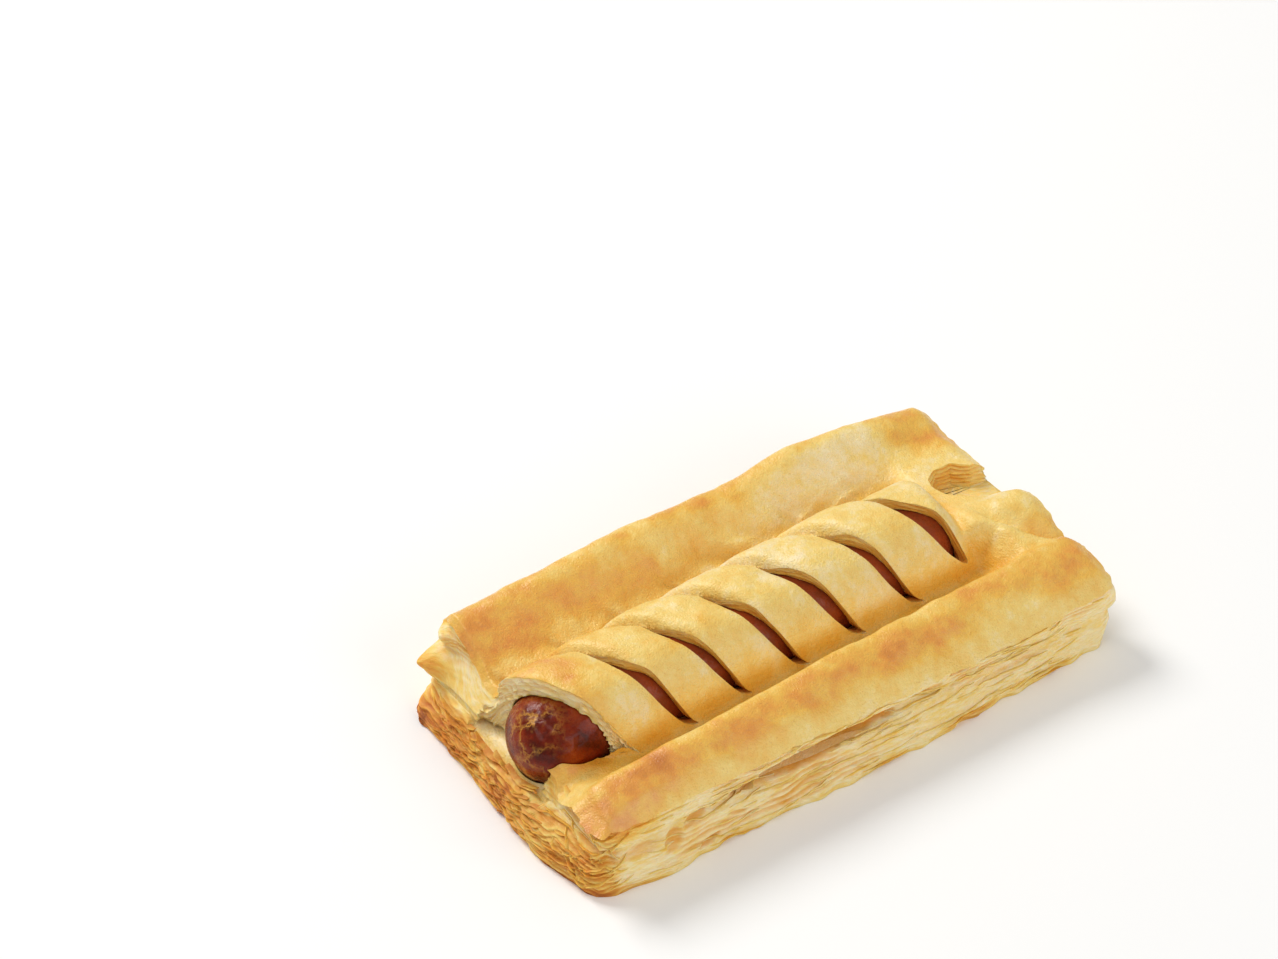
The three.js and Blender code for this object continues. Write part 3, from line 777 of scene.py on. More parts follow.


# ---- browning and painted shade -------------------------------------------------------------------------


@dataclass(frozen=True)
class Browning:
    """How far each place is baked, from 0, raw cream, to 1, dark brown. Two patches on the far valley add
    painted shade instead of browning.
    """

    skin: float = 0.14
    near_rim: float = 0.24
    near_band: float = 5.0
    far_rim: float = 0.10
    far_band: float = 8.0
    knee: float = 0.36
    past_knee: float = 0.85
    mottle: tuple[Bumps, ...] = (
        Bumps(0.08, 9, 7, 3.0),
        Bumps(0.08, 3.6, 3.2, 5.0),
        Bumps(0.05, 1.5, 1.5, 6.0),
    )
    patches: tuple[Patch, ...] = (
        Patch(-70, -35, 11, 7, 0.18),
        Patch(-67, -40, 9, 2.5, 0.26),
        Patch(-56, -31, 7, 5, 0.16),
        Patch(-37, -32, 6, 4, 0.15),
        Patch(-14, -35, 8, 3, 0.14),
        Patch(12, -33, 9, 3, 0.16),
        Patch(37, -33, 8, 3, 0.14),
        Patch(70, -35, 8, 4, 0.14),
        Patch(-71, 32, 7, 4, 0.22),
        Patch(-60, 35, 9, 5, 0.14),
        Patch(-24, 37, 5, 2.5, 0.18),
        Patch(0, 36, 8, 2, 0.14),
        Patch(14, 35, 5, 2, 0.14),
        Patch(41, 38, 5, 3, 0.18),
        Patch(73, 29, 5, 5, 0.22),
        Patch(68, 36, 10, 4, 0.16),
        # Painted shade: these two darken the far valley beside the strips, where shade falls.
        Patch(-52, 27, 24, 5, 0.26),
        Patch(-15, 27, 18, 4, 0.12),
        Patch(-61, 0, 6, 16, 0.24),
        Patch(-62, 14, 6, 5, 0.12),
        Patch(-44, 8, 6, 6, 0.12),
        Patch(-46, -4, 4, 5, 0.08),
        Patch(-27, -6, 4, 4, 0.08),
        Patch(-8, -3, 5, 4, 0.07),
        Patch(12, -8, 5, 4, 0.05),
        Patch(36, -2, 5, 5, 0.05),
        Patch(-70, -15, 8, 4.5, 0.30),
        Patch(74, -14, 6, 4, 0.16),
        Patch(77, -23, 5, 6, 0.22),
        Patch(-20, 16, 60, 4, -0.08),
        Patch(55, 16, 12, 8, -0.06),
        Patch(34, 30, 26, 8, -0.12),
        Patch(30, 40, 26, 4, 0.10),
        Patch(52, 37, 16, 6, -0.10),
    )

    def on_skin(self, form: CaseForm, x: Array, y: Array) -> Array:
        """Browning of the top skin."""
        wander = 2.5 * noise(x / 14, np.full_like(x, 71.0))
        crest = mix(form.near_rim.front_y, form.near_rim.back_y, ease(-60, 60, x))
        near = self.near_rim * bell((y - crest + 4.5 + wander) / self.near_band)
        far = self.far_rim * bell((y - form.far_rim.front_y + wander) / self.far_band)
        baked = self.skin + near + far
        u = x + 5 * noise(x / 8, y / 6, 72.0) + 2 * noise(x / 3, y / 3, 73.0)
        v = y + 2 * noise(x / 8, y / 6, 74.0) + 0.8 * noise(x / 3, y / 3, 75.0)
        for p in self.patches:
            baked = baked + p.strength * bell((u - p.x) / p.spread_x) * bell((v - p.y) / p.spread_y)
        mottle = bumps_at(self.mottle, x, y)
        baked = np.where(baked > self.knee, self.knee + self.past_knee * (baked - self.knee), baked)
        return np.clip(baked * (1 + 2.2 * mottle) + 0.3 * mottle, 0.0, 1.0)


@dataclass(frozen=True)
class SideBaking:
    """How baked the flaky sides are: browned at the foot, over the front end's base and at the corners."""

    form: CaseForm
    least: float = 0.05
    foot: float = 0.13
    front_foot: float = 0.42
    front: float = 0.10
    front_patches: float = 0.26
    front_specks: float = 0.08
    far_front: float = 0.10
    near_corner: float = 0.42
    far_corner: float = 0.34
    flap: float = 0.30
    tip: float = 0.34
    notch: float = 0.26
    mottle: float = 0.04

    def at(self, x: Array, y: Array, z: Array) -> Array:
        """Browning of the sides at each point, from 0 to 1."""
        front_x = self.form.front_x
        at_front = ease(front_x + 4, front_x - 2, x)
        waves = 1.6 * noise(x / 9 + y / 9, np.full_like(z, 51.0))
        ripples = 0.8 * noise(x / 3 + y / 3, np.full_like(z, 52.0))
        foot = mix(self.foot, self.front_foot, at_front) * ease(2.6, 0.2, z + waves + ripples)
        speckle = 0.5 + 0.5 * noise3(x / 2.2, y / 2.2, z / 0.9)
        patchy = ease(-0.3, 0.6, noise3(x / 9 + 3, y / 9, z / 4))
        specks = (self.front_patches * patchy + self.front_specks) * speckle
        front = at_front * (ease(13, 9, z) * (self.front + specks) + self.far_front * ease(14, 20, y))
        baked = self.least + foot + front + self.ends(x, y, z, patchy) + self.mottle * patchy
        return np.clip(baked, 0, 1)

    def ends(self, x: Array, y: Array, z: Array, patchy: Array) -> Array:
        """What the corners, the flap, the far tiers' tips and the back notch add."""
        front_x = self.form.front_x
        near_corner = self.near_corner * bell((x + 70) / 7) * bell((z - 19) / 3.5) * ease(-34, -38, y)
        far_corner = self.far_corner * bell((y - 34) / 7) * bell((z - 17) / 4)
        far_corner = far_corner * ease(front_x + 6, front_x, x)
        flap = self.flap * bell((y + 14.5) / 4.5) * bell((z - 17.5) / 4.5) * ease(-64, -68, x)
        tip = self.tip * ease(front_x - 0.5, front_x - 4, x) * ease(30, 37, y) * (0.6 + 0.4 * patchy)
        notch = self.notch * bell((x - 70) / 8) * bell((y - 14) / 5) * ease(17, 20, z)
        return near_corner + far_corner + flap + tip + notch


# ---- the two sheets -------------------------------------------------------------------------------------


@dataclass(frozen=True)
class DoughFinishes:
    """The two finishes that both sheets and their cutters carry."""

    crust: bpy.types.Material
    layers: bpy.types.Material

    def paint(self, obj: bpy.types.Object, crust_faces: int = 0) -> None:
        """Gives the first faces the crust and all others the layers."""
        obj.data.materials.append(self.crust)
        obj.data.materials.append(self.layers)
        is_layers = np.arange(len(obj.data.polygons)) >= crust_faces
        obj.data.polygons.foreach_set("material_index", is_layers.astype(np.int32))


@dataclass(frozen=True)
class FlakySide:
    """The layered side of the case: the form's relief with the layers' own on top."""

    form: CaseForm
    baking: SideBaking
    lamination: Lamination = Lamination()
    foot_lumps: float = 0.7
    crumple: float = 0.9
    pockets: tuple[Pocket, ...] = (
        Pocket(-15, 13.2, 28, 2.6, 3.6, 0.03),
        Pocket(-57, 8.5, 3.0, 2.2, 1.3, 0.3),
        Pocket(-47, 3.6, 3.4, 1.2, 1.4, 0.15),
        Pocket(-49, 11.0, 4.5, 1.1, 0.9, 0.25),
        Pocket(-66, 9.5, 5.0, 1.4, 0.7),
        Pocket(-38, 7.2, 3.0, 0.6, 0.8, -0.2),
        Pocket(-27, 12.3, 2.6, 0.6, 0.9, 0.1),
        Pocket(-17, 13.0, 2.2, 0.6, 0.9, 0.1),
        Pocket(-10, 12.2, 2.0, 0.6, 0.9),
        Pocket(8, 13.0, 3.6, 1.1, 1.8, -0.1),
        Pocket(-3, 15.6, 2.0, 0.5, 0.9, 0.1),
        Pocket(18, 14.8, 8.0, 0.9, 1.2),
        Pocket(31, 16.0, 3.2, 0.6, 1.3),
        Pocket(41, 12.6, 3.0, 0.5, 0.9),
        Pocket(47, 18.2, 3.0, 1.4, 1.2, 0.2),
        Pocket(2, 23.4, 6.0, 1.0, 0.6),
        Pocket(20, 21.8, 6.0, 1.2, 0.7),
        Pocket(60, 22.0, 7.0, 1.2, 0.7),
        Pocket(68, 18.5, 3.0, 0.6, 0.9),
        Pocket(-68, 19.5, 5.0, 1.0, 1.2, -0.1),
    )

    def looseness(self, x: Array, y: Array, z: Array) -> Array:
        """How far the layers have parted at each point, from 0 to 1."""
        form = self.form
        patchy = ease(-0.05, 0.6, noise3(x / 17 + 4, y / 17, z / 4.5))
        front = ease(form.front_x + 6, form.front_x - 1, x) * ease(13, 9, z)
        front_near = ease(form.front_x + 5, form.front_x - 1, x) * ease(-18, -30, y) * 0.7
        under_skin = ease(5.0, 2.0, form.top_height(x, y) - z)
        return np.clip(0.10 + 0.75 * patchy * (1 - 0.8 * under_skin) + front + front_near, 0.0, 1.0)

    def pocket_depth(self, x: Array, y: Array, z: Array) -> Array:
        """How deep the lens-shaped holes go at each point."""
        depth = np.zeros_like(z)
        for p in self.pockets:
            da = (x - p.at) / p.half_length
            dz = (z - p.z - p.tilt * (x - p.at)) / p.half_height
            lens = np.sqrt(np.clip(1 - da * da - dz * dz, 0, 1))
            depth = np.maximum(depth, np.where(y < 0, p.depth * lens, 0))
        return depth

    def place(self, plain_x: Array, plain_y: Array, z: Array) -> tuple[Array, Array, Array]:
        """Places points of the side wall.

        Args:
            plain_x: Places along the plain outline.
            plain_y: Places across it.
            z: Heights.

        Returns:
            The places along and across, and how hollow each point is, the mask for the painted shade.
        """
        x, y = self.form.place_in_plan(plain_x, plain_y, z)
        nx, ny = self.form.outward(plain_x, plain_y)
        loose = self.looseness(plain_x, plain_y, z)
        at_front = ease(self.form.front_x + 12, self.form.front_x + 3, plain_x)
        crumple = mix(0.2, self.crumple, at_front) * noise3(plain_x / 2.6, plain_y / 3.4, z / 2.2)
        reach, hollow = self.lamination.relief(plain_x, plain_y, z + crumple, loose)
        pocket = self.pocket_depth(plain_x, plain_y, z)
        lumps = self.foot_lumps * noise(plain_x / 4.5 + plain_y / 4.5, np.full_like(z, 61.0))
        lumps = lumps * ease(3.5, 0.3, z)
        reach = reach * ease(-0.5, 0.6, z) - pocket + lumps
        # Pockets add to the hollow mask, so they also get painted shade.
        return x + nx * reach, y + ny * reach, np.clip(hollow + 0.6 * pocket, 0, 1)

    def wrap(
        self, block: Block, plan: tuple[Array, Array], top: tuple[Array, Array, Array], floor_z: float
    ) -> Array:
        """Shapes a block: its top as given, and this side from the top's edge down to the floor.

        Args:
            block: The block.
            plan: Places of its points in the plain plan.
            top: Places of its points on the shaped top.
            floor_z: Height of its underside.

        Returns:
            The share of the way down the side at each point, 0 on the top.
        """
        x, y, z = top
        share = block.level / block.levels
        side_z = mix(z, floor_z, share)
        side_x, side_y, hollow = self.place(*plan, side_z)
        on_side = block.level > 0
        x = np.where(on_side, side_x * (1 - block.core), x)
        y = np.where(on_side, side_y * (1 - block.core), y)
        z = np.where(on_side, side_z, z)
        move_points(block.obj, np.stack([x, y, z], axis=1))
        # Painted shade: the finish darkens the side's hollows by this mask.
        store(block.obj, "hollow", np.where(on_side, hollow, 0))
        return share


@dataclass
class TopSheet:
    """The slashed upper sheet: a fine skin over flaky sides, cut open at both ends and over the sausage."""

    form: CaseForm
    side: FlakySide
    browning: Browning
    columns: int = 272
    rows: int = 134
    levels: int = 40
    underside_z: float = 11.6
    skin_overhang: float = 0.4
    front_overhang: float = 2.6
    blisters: tuple[Bumps, ...] = (
        Bumps(0.22, 5.5, 4.5, 20.0),
        Bumps(0.14, 2.7, 2.7, 21.0),
        Bumps(0.06, 1.3, 1.3, 23.0),
    )
    flap_dip: float = 3.6
    flap_dip_y: float = -18.5
    flap_dip_spread: float = 3.0
    pleat: float = 0.9
    pleat_y: float = 21.5
    pleat_spread: float = 6.0
    pleated: Band = Band(-52, -25, 46, 58)
    far_feet: Band = Band(10, 14, 20, 27)
    near_feet: Band = Band(-22, -19, -17, -15)
    near_crease: float = 0.6
    strip_round: float = 0.9
    crease: float = 1.5
    fold: float = 2.2
    fold_start: tuple[float, float] = (64.2, -7.5)
    fold_normal: tuple[float, float] = (16.5, 14.3)
    fold_before: float = 0.7
    fold_after: float = 3.0
    crease_before: float = 2.4
    crease_after: float = 0.8
    notch_z: float = 18.4
    notch_flare: float = 0.45
    slit_depth: float = 7.5
    slit_release: float = 0.6
    opening_step: float = 0.55
    opening_rise: float = 1.5
    opening_floors: int = 34
    cut_lamination: Lamination = Lamination(0.7, 0.3, 9, 0.2, 3, 0.3, 0.3, 0.3, 11.0)
    front_lamination: Lamination = Lamination(0.95, 1.1, 9, 0.5, 3.5, 1.0, 0.8, 0.28, 17.0)

    def skin_height(self, x: Array, y: Array) -> Array:
        """The top skin with its blisters, pleats and creases, and a groove beside the flap."""
        form = self.form
        blister = bumps_at(self.blisters, x, y)
        groove = self.flap_dip * bell((y - self.flap_dip_y) / self.flap_dip_spread) * ease(-61, -71, x)
        ridge = 1 - np.abs(noise(x / 13 + y / 24, y / 3.1 - x / 15, 26.0))
        in_far_valley = bell((y - self.pleat_y) / self.pleat_spread)
        pleat = self.pleat * (ridge**2 - 0.5) * in_far_valley * self.pleated.at(x)
        crease = np.zeros_like(x)
        for n in range(1, form.slit_count):
            ahead = x - form.slit_at(n, y) - 0.8 * noise(y / 4, np.full_like(y, n * 3.0))
            crease += bell(ahead / np.where(ahead > 0, self.crease_after, self.crease_before))
        from_axis = y - form.axis_y(x)
        crease = crease * (self.far_feet.at(from_axis) + self.near_crease * self.near_feet.at(from_axis))
        share = form.across_strip(x, y)
        edge = ease(0.16, 0.0, share) + ease(0.8, 1.0, share)
        over = ease(19, 13, np.abs(from_axis)) * ease(0, 6, x - form.slit_at(1, y)) * ease(56, 50, x)
        rounding = self.strip_round * edge * over
        hollows = self.fold_depth(x, y) + groove + rounding + self.crease * crease
        return form.top_height(x, y) + blister + pleat - hollows

    def fold_depth(self, x: Array, y: Array) -> Array:
        """The sharp groove along the back panel's fold, steep on its near side."""
        (start_x, start_y), (run, rise) = self.fold_start, self.fold_normal
        past = ((x - start_x) * run + (y - start_y) * rise) / math.hypot(run, rise)
        depth = self.fold * bell(past / np.where(past > 0, self.fold_after, self.fold_before))
        return depth * ease(62, 67, x)

    def blank(self) -> bpy.types.Object:
        """Builds the uncut sheet."""
        form = self.form
        block = Block.add("pastry_top_sheet", self.columns, self.rows, self.levels)
        plain_x = mix(form.front_x, form.back_x, block.u)
        plain_y = mix(form.near_y, form.far_y, block.v)
        x, y = form.place_in_plan(plain_x, plain_y)
        inset = form.inset(plain_x, plain_y)
        nx, ny = form.outward(plain_x, plain_y)
        jag = self.skin_overhang * (1 + noise(plain_x / 1.7, plain_y / 1.7, 31.0)) * ease(0.8, 0.0, inset)
        at_tip = ease(form.front_x + 1.2, form.front_x, plain_x) * ease(-15, -22, plain_y)
        jag = jag + self.front_overhang * at_tip * (1 + 0.25 * noise(plain_x / 1.2, plain_y / 1.2, 33.0))
        x, y = x + nx * jag, y + ny * jag
        fall = form.edge_fall * (1 - np.clip(inset / form.edge_width, 0, 1)) ** 2
        skin_z = self.skin_height(x, y) - fall
        share = self.side.wrap(block, (plain_x, plain_y), (x, y, skin_z), self.underside_z)
        store(block.obj, "below", share * (skin_z - self.underside_z))
        return block.obj

    def ridged(self, outline: Array, name: str, floor_z: float, flare: float) -> bpy.types.Object:
        """Builds an upright cutter whose wall bears the marks of the layers.

        Args:
            outline: Corners of the outline, anticlockwise.
            name: The cutter's name.
            floor_z: Height of its flat foot.
            flare: How far its wall leans in with depth.

        Returns:
            The cutter.
        """
        normal = loop_normals(outline)
        tower = Tower.add(name, len(outline), self.opening_floors)
        corner = tower.corners(len(outline))
        x, y = outline[corner].T
        top = self.form.top_height(x, y) + self.opening_rise
        z = mix(floor_z, top, tower.floor)
        below = np.clip(top - self.opening_rise - z, 0, None)
        reach, hollow = self.front_lamination.relief(x, y, -below, np.full_like(z, 0.8))
        reach = reach * ease(0.15, 0.8, below) * ease(0.0, 0.8, z - floor_z) + flare * below
        z = np.where(tower.floor > 0.999, CUTTER_TOP_Z, z)
        points = np.stack([x - normal[corner, 0] * reach, y - normal[corner, 1] * reach, z], axis=1)
        # Painted shade between the layers of the cut face, by this mask.
        store(tower.obj, "hollow", 0.5 * hollow)
        store(tower.obj, "below", below + 0.5)
        return tower.close(points)

    def slit_cutter(self, n: int, steps: int = 60, floors: int = 26) -> bpy.types.Object:
        """Builds the gap between two strips, square to the sheet: blunt near end, pointed far end."""
        form = self.form
        near_reach = form.last_slit_near_reach if n == form.slit_count - 1 else form.slit_near_reach
        share = ((np.arange(steps) + 0.5) / steps) ** 1.5 * form.slit_closed
        y = form.axis_y(form.slit_x(n)) + mix(-near_reach, form.slit_far_reach, share)
        x = form.slit_at(n, y)
        blunt = np.sqrt(1 - (1 - np.clip(share / form.slit_blunt, 0, 1)) ** 2)
        half = form.slit_half_widths[n - 1] * blunt * ease(form.slit_closed, form.slit_full, share)
        wander = 0.3 * noise(y / 5, np.full_like(y, n * 7.0)) * ease(0, 1, half)
        right = np.stack([x + half + wander, y], axis=1)
        left = np.stack([x - half + 0.5 * wander, y], axis=1)[::-1]
        outline = np.concatenate([right, left])
        tower = Tower.add(f"slit_{n}", len(outline), floors)
        corner = tower.corners(len(outline))
        x, y = outline[corner].T
        outward = np.where(corner < steps, 1.0, -1.0)
        lean = form.sheet_lean(y - form.axis_y(x))
        depth = mix(self.slit_depth, -self.slit_release, tower.floor)
        reach, hollow = self.cut_lamination.relief(x, y, -depth, np.full_like(x, 0.8))
        reach = reach * ease(0.15, 0.8, depth)
        z = form.top_height(x, y) - depth * np.cos(lean)
        z = np.where(tower.floor > 0.999, CUTTER_TOP_Z, z)
        # Painted shade between the layers of the slit's wall, by this mask.
        store(tower.obj, "hollow", 0.45 * hollow)
        store(tower.obj, "below", np.clip(depth, 0, None) + 0.5)
        return tower.close(np.stack([x - outward * reach, y - depth * np.sin(lean), z], axis=1))

    def opening_cutter(self, corners: Array, name: str, floor_z: float, flare: float) -> bpy.types.Object:
        """Builds an upright cutter round a loop of corners, with points close enough for its layers."""
        outline = resampled(corners, self.opening_step)
        return self.ridged(outline, name, floor_z, flare)

    def front_corners(self) -> Array:
        """Corners of the open front end."""
        form = self.form
        y = form.axis_y(form.slit_first_x) + np.linspace(-17.5, 5.5, 24)
        strip_edge = np.stack([form.slit_at(0, y), y], axis=1)
        flap = [[-95, -11.6], [-72.5, -11.6], [-64, -12.2], [-60.5, -15.4]]
        foot = [[-70.5, 12], [-72.5, 17.5], [-95, 17.5]]
        return np.concatenate([flap, strip_edge, foot])

    def notch_corners(self) -> Array:
        """Corners of the gap between the far rim's cut end and the back panel."""
        return np.array(
            [
                [62.5, 12], [63.5, 7.5], [66.5, 3], [73.5, -2.5], [80.5, -7.5], [95, -8],
                [95, 13], [76, 13.5], [72.5, 17.5], [67, 17.5], [63.5, 15],
            ]
        )  # fmt: skip

    def build(self, seat: bpy.types.Object, finishes: DoughFinishes) -> bpy.types.Object:
        """Builds, cuts and dresses the sheet.

        Args:
            seat: A closed mesh of the room that the sausage takes.
            finishes: The skin's finish and the cut and torn sides' one.

        Returns:
            The finished sheet.
        """
        form = self.form
        sheet = self.blank()
        finishes.paint(sheet, self.columns * self.rows)
        cutters = [
            self.opening_cutter(self.front_corners(), "front_opening", form.lower_sheet_z, 0.0),
            self.opening_cutter(self.notch_corners(), "back_notch", self.notch_z, self.notch_flare),
        ]
        cutters += [self.slit_cutter(n) for n in range(1, form.slit_count)]
        for cutter in cutters:
            finishes.paint(cutter)
            carve(sheet, cutter)
        carve(sheet, seat, keep_cutter=True)
        sheet = keep_largest(sheet)
        self.mark(sheet)
        finish_piece(sheet, form, "pastry")
        return sheet

    def mark(self, sheet: bpy.types.Object) -> None:
        """Stores how baked each point is, with painted shade deep in the slits, and how far it lies in a
        valley.
        """
        form = self.form
        x, y, z = points_of(sheet).T
        below = stored(sheet, "below")
        skin = self.browning.on_skin(form, x, y)
        from_axis = y - form.axis_y(x)
        among_strips = ease(-60, -56, x + form.slit_slant * from_axis) * ease(62, 58, x)
        in_slit = ease(18.5, 16, np.abs(from_axis)) * among_strips
        # Cut faces in the slits: pale near the skin, with painted shade that darkens them with depth below
        # the skin and towards the slits' near ends; they are also darker towards the front end.
        slit_wall_bake_and_shade = 0.04 + 0.07 * below + 0.30 * ease(3.5, 6.0, below) + 0.12 * ease(-6, -15, from_axis)
        slit_wall_bake_and_shade = slit_wall_bake_and_shade + 0.14 * ease(-50, -58, x)
        cut = mix(self.side.baking.at(x, y, z), slit_wall_bake_and_shade, in_slit)
        under_skin = 0.8 * skin * np.exp(-np.maximum(0, below - 0.3) / 0.7)
        store(sheet, "bake", np.where(below < 0.35, skin, np.maximum(cut, under_skin)))
        # Depth in a valley, which the crust darkens as painted shade.
        store(sheet, "valley", valley_shade_depth(form, x, y))


def valley_shade_depth(form: CaseForm, x: Array, y: Array) -> Array:
    """How far each place of the top skin lies in a valley, from 0 to 1: the mask for the crust's painted
    shade.
    """
    around = np.zeros_like(x)
    for turn in np.linspace(0, 2 * np.pi, 8, endpoint=False):
        for radius in (4.0, 8.0):
            around += form.top_height(x + radius * np.cos(turn), y + radius * np.sin(turn)) / 16
    return ease(0.0, 3.2, around - form.top_height(x, y))


def resampled(corners: Array, step: float) -> Array:
    """Puts points a step apart round a closed loop of corners, keeping it near them."""
    closed = np.concatenate([corners, corners[:1]])
    lengths = np.hypot(*np.diff(closed, axis=0).T)
    run = np.concatenate([[0], np.cumsum(lengths)])
    count = max(8, int(run[-1] / step))
    at = np.linspace(0, run[-1], count, endpoint=False)
    return np.stack([np.interp(at, run, closed[:, 0]), np.interp(at, run, closed[:, 1])], axis=1)


def loop_normals(outline: Array) -> Array:
    """Outward directions of an anticlockwise loop."""
    tangent = np.roll(outline, -1, axis=0) - np.roll(outline, 1, axis=0)
    normal = np.stack([tangent[:, 1], -tangent[:, 0]], axis=1)
    return normal / np.linalg.norm(normal, axis=1, keepdims=True)


@dataclass
class BottomSheet:
    """The lower sheet: flat on the tray, flaky all round, and bare in front, where the sausage lies in it."""

    form: CaseForm
    side: FlakySide
    columns: int = 272
    rows: int = 134
    levels: int = 44
    top_z: float = 11.6
    bumps: tuple[Bumps, ...] = (Bumps(0.25, 5, 5, 41.0), Bumps(0.1, 1.8, 1.8, 42.0))
    lip_radius: float = 10.1
    lip_rise: float = 1.1
    lip_spread: float = 3.0
    lip_fall: float = 1.6
    lip_width: float = 3.0

    def surface_height(self, x: Array, y: Array, inset: Array) -> Array:
        """The sheet's top: bare and rolled at the open front, flat where the upper sheet covers it."""
        form = self.form
        across = y - form.axis_y(x)
        past_tip = np.maximum(0, form.sausage_front_x + form.sausage_radius - x)
        from_sausage = np.hypot(past_tip, across) - self.lip_radius
        bare = form.lower_sheet_z + self.lip_rise * bell(np.maximum(0, from_sausage) / self.lip_spread)
        bare = bare + bumps_at(self.bumps, x, y)
        bare = bare - self.lip_fall * (1 - np.clip(inset / self.lip_width, 0, 1)) ** 2
        open_front = ease(-50, -56, x) * ease(-16, -13, y) * ease(21, 18, y)
        return mix(self.top_z, bare, open_front)

    def build(self, seat: bpy.types.Object, finishes: DoughFinishes) -> bpy.types.Object:
        """Builds, cuts and dresses the sheet.

        Args:
            seat: A closed mesh of the room that the sausage takes.
            finishes: The bare lip's finish and the torn sides' one.

        Returns:
            The finished sheet.
        """
        form = self.form
        block = Block.add("pastry_bottom_sheet", self.columns, self.rows, self.levels)
        plain_x = mix(form.front_x, form.back_x, block.u)
        plain_y = mix(form.near_y, form.far_y, block.v)
        inset = form.inset(plain_x, plain_y)
        start_z = np.full_like(plain_x, self.top_z)
        x, y = form.place_in_plan(plain_x, plain_y, start_z)
        self.side.wrap(block, (plain_x, plain_y), (x, y, self.surface_height(x, y, inset)), 0.0)
        sheet = block.obj
        finishes.paint(sheet, self.columns * self.rows)
        carve(sheet, seat, keep_cutter=True)
        self.mark(sheet)
        finish_piece(sheet, form, "pastry")
        return sheet

    def mark(self, sheet: bpy.types.Object) -> None:
        """Stores how baked each point is and its depth under the sheet's top."""
        x, y, z = points_of(sheet).T
        store(sheet, "bake", self.side.baking.at(x, y, z))
        store(sheet, "below", self.top_z - z)


@dataclass(frozen=True)
class Stretch:
    """A stretch of the case's outline where thin sheets stand out, and how they do."""

    start: float
    end: float
    count: int
    low_z: float
    high_z: float
    shortest: float
    longest: float
    out: float
    curl: float
    brown: float
    tilt: float = 0.0


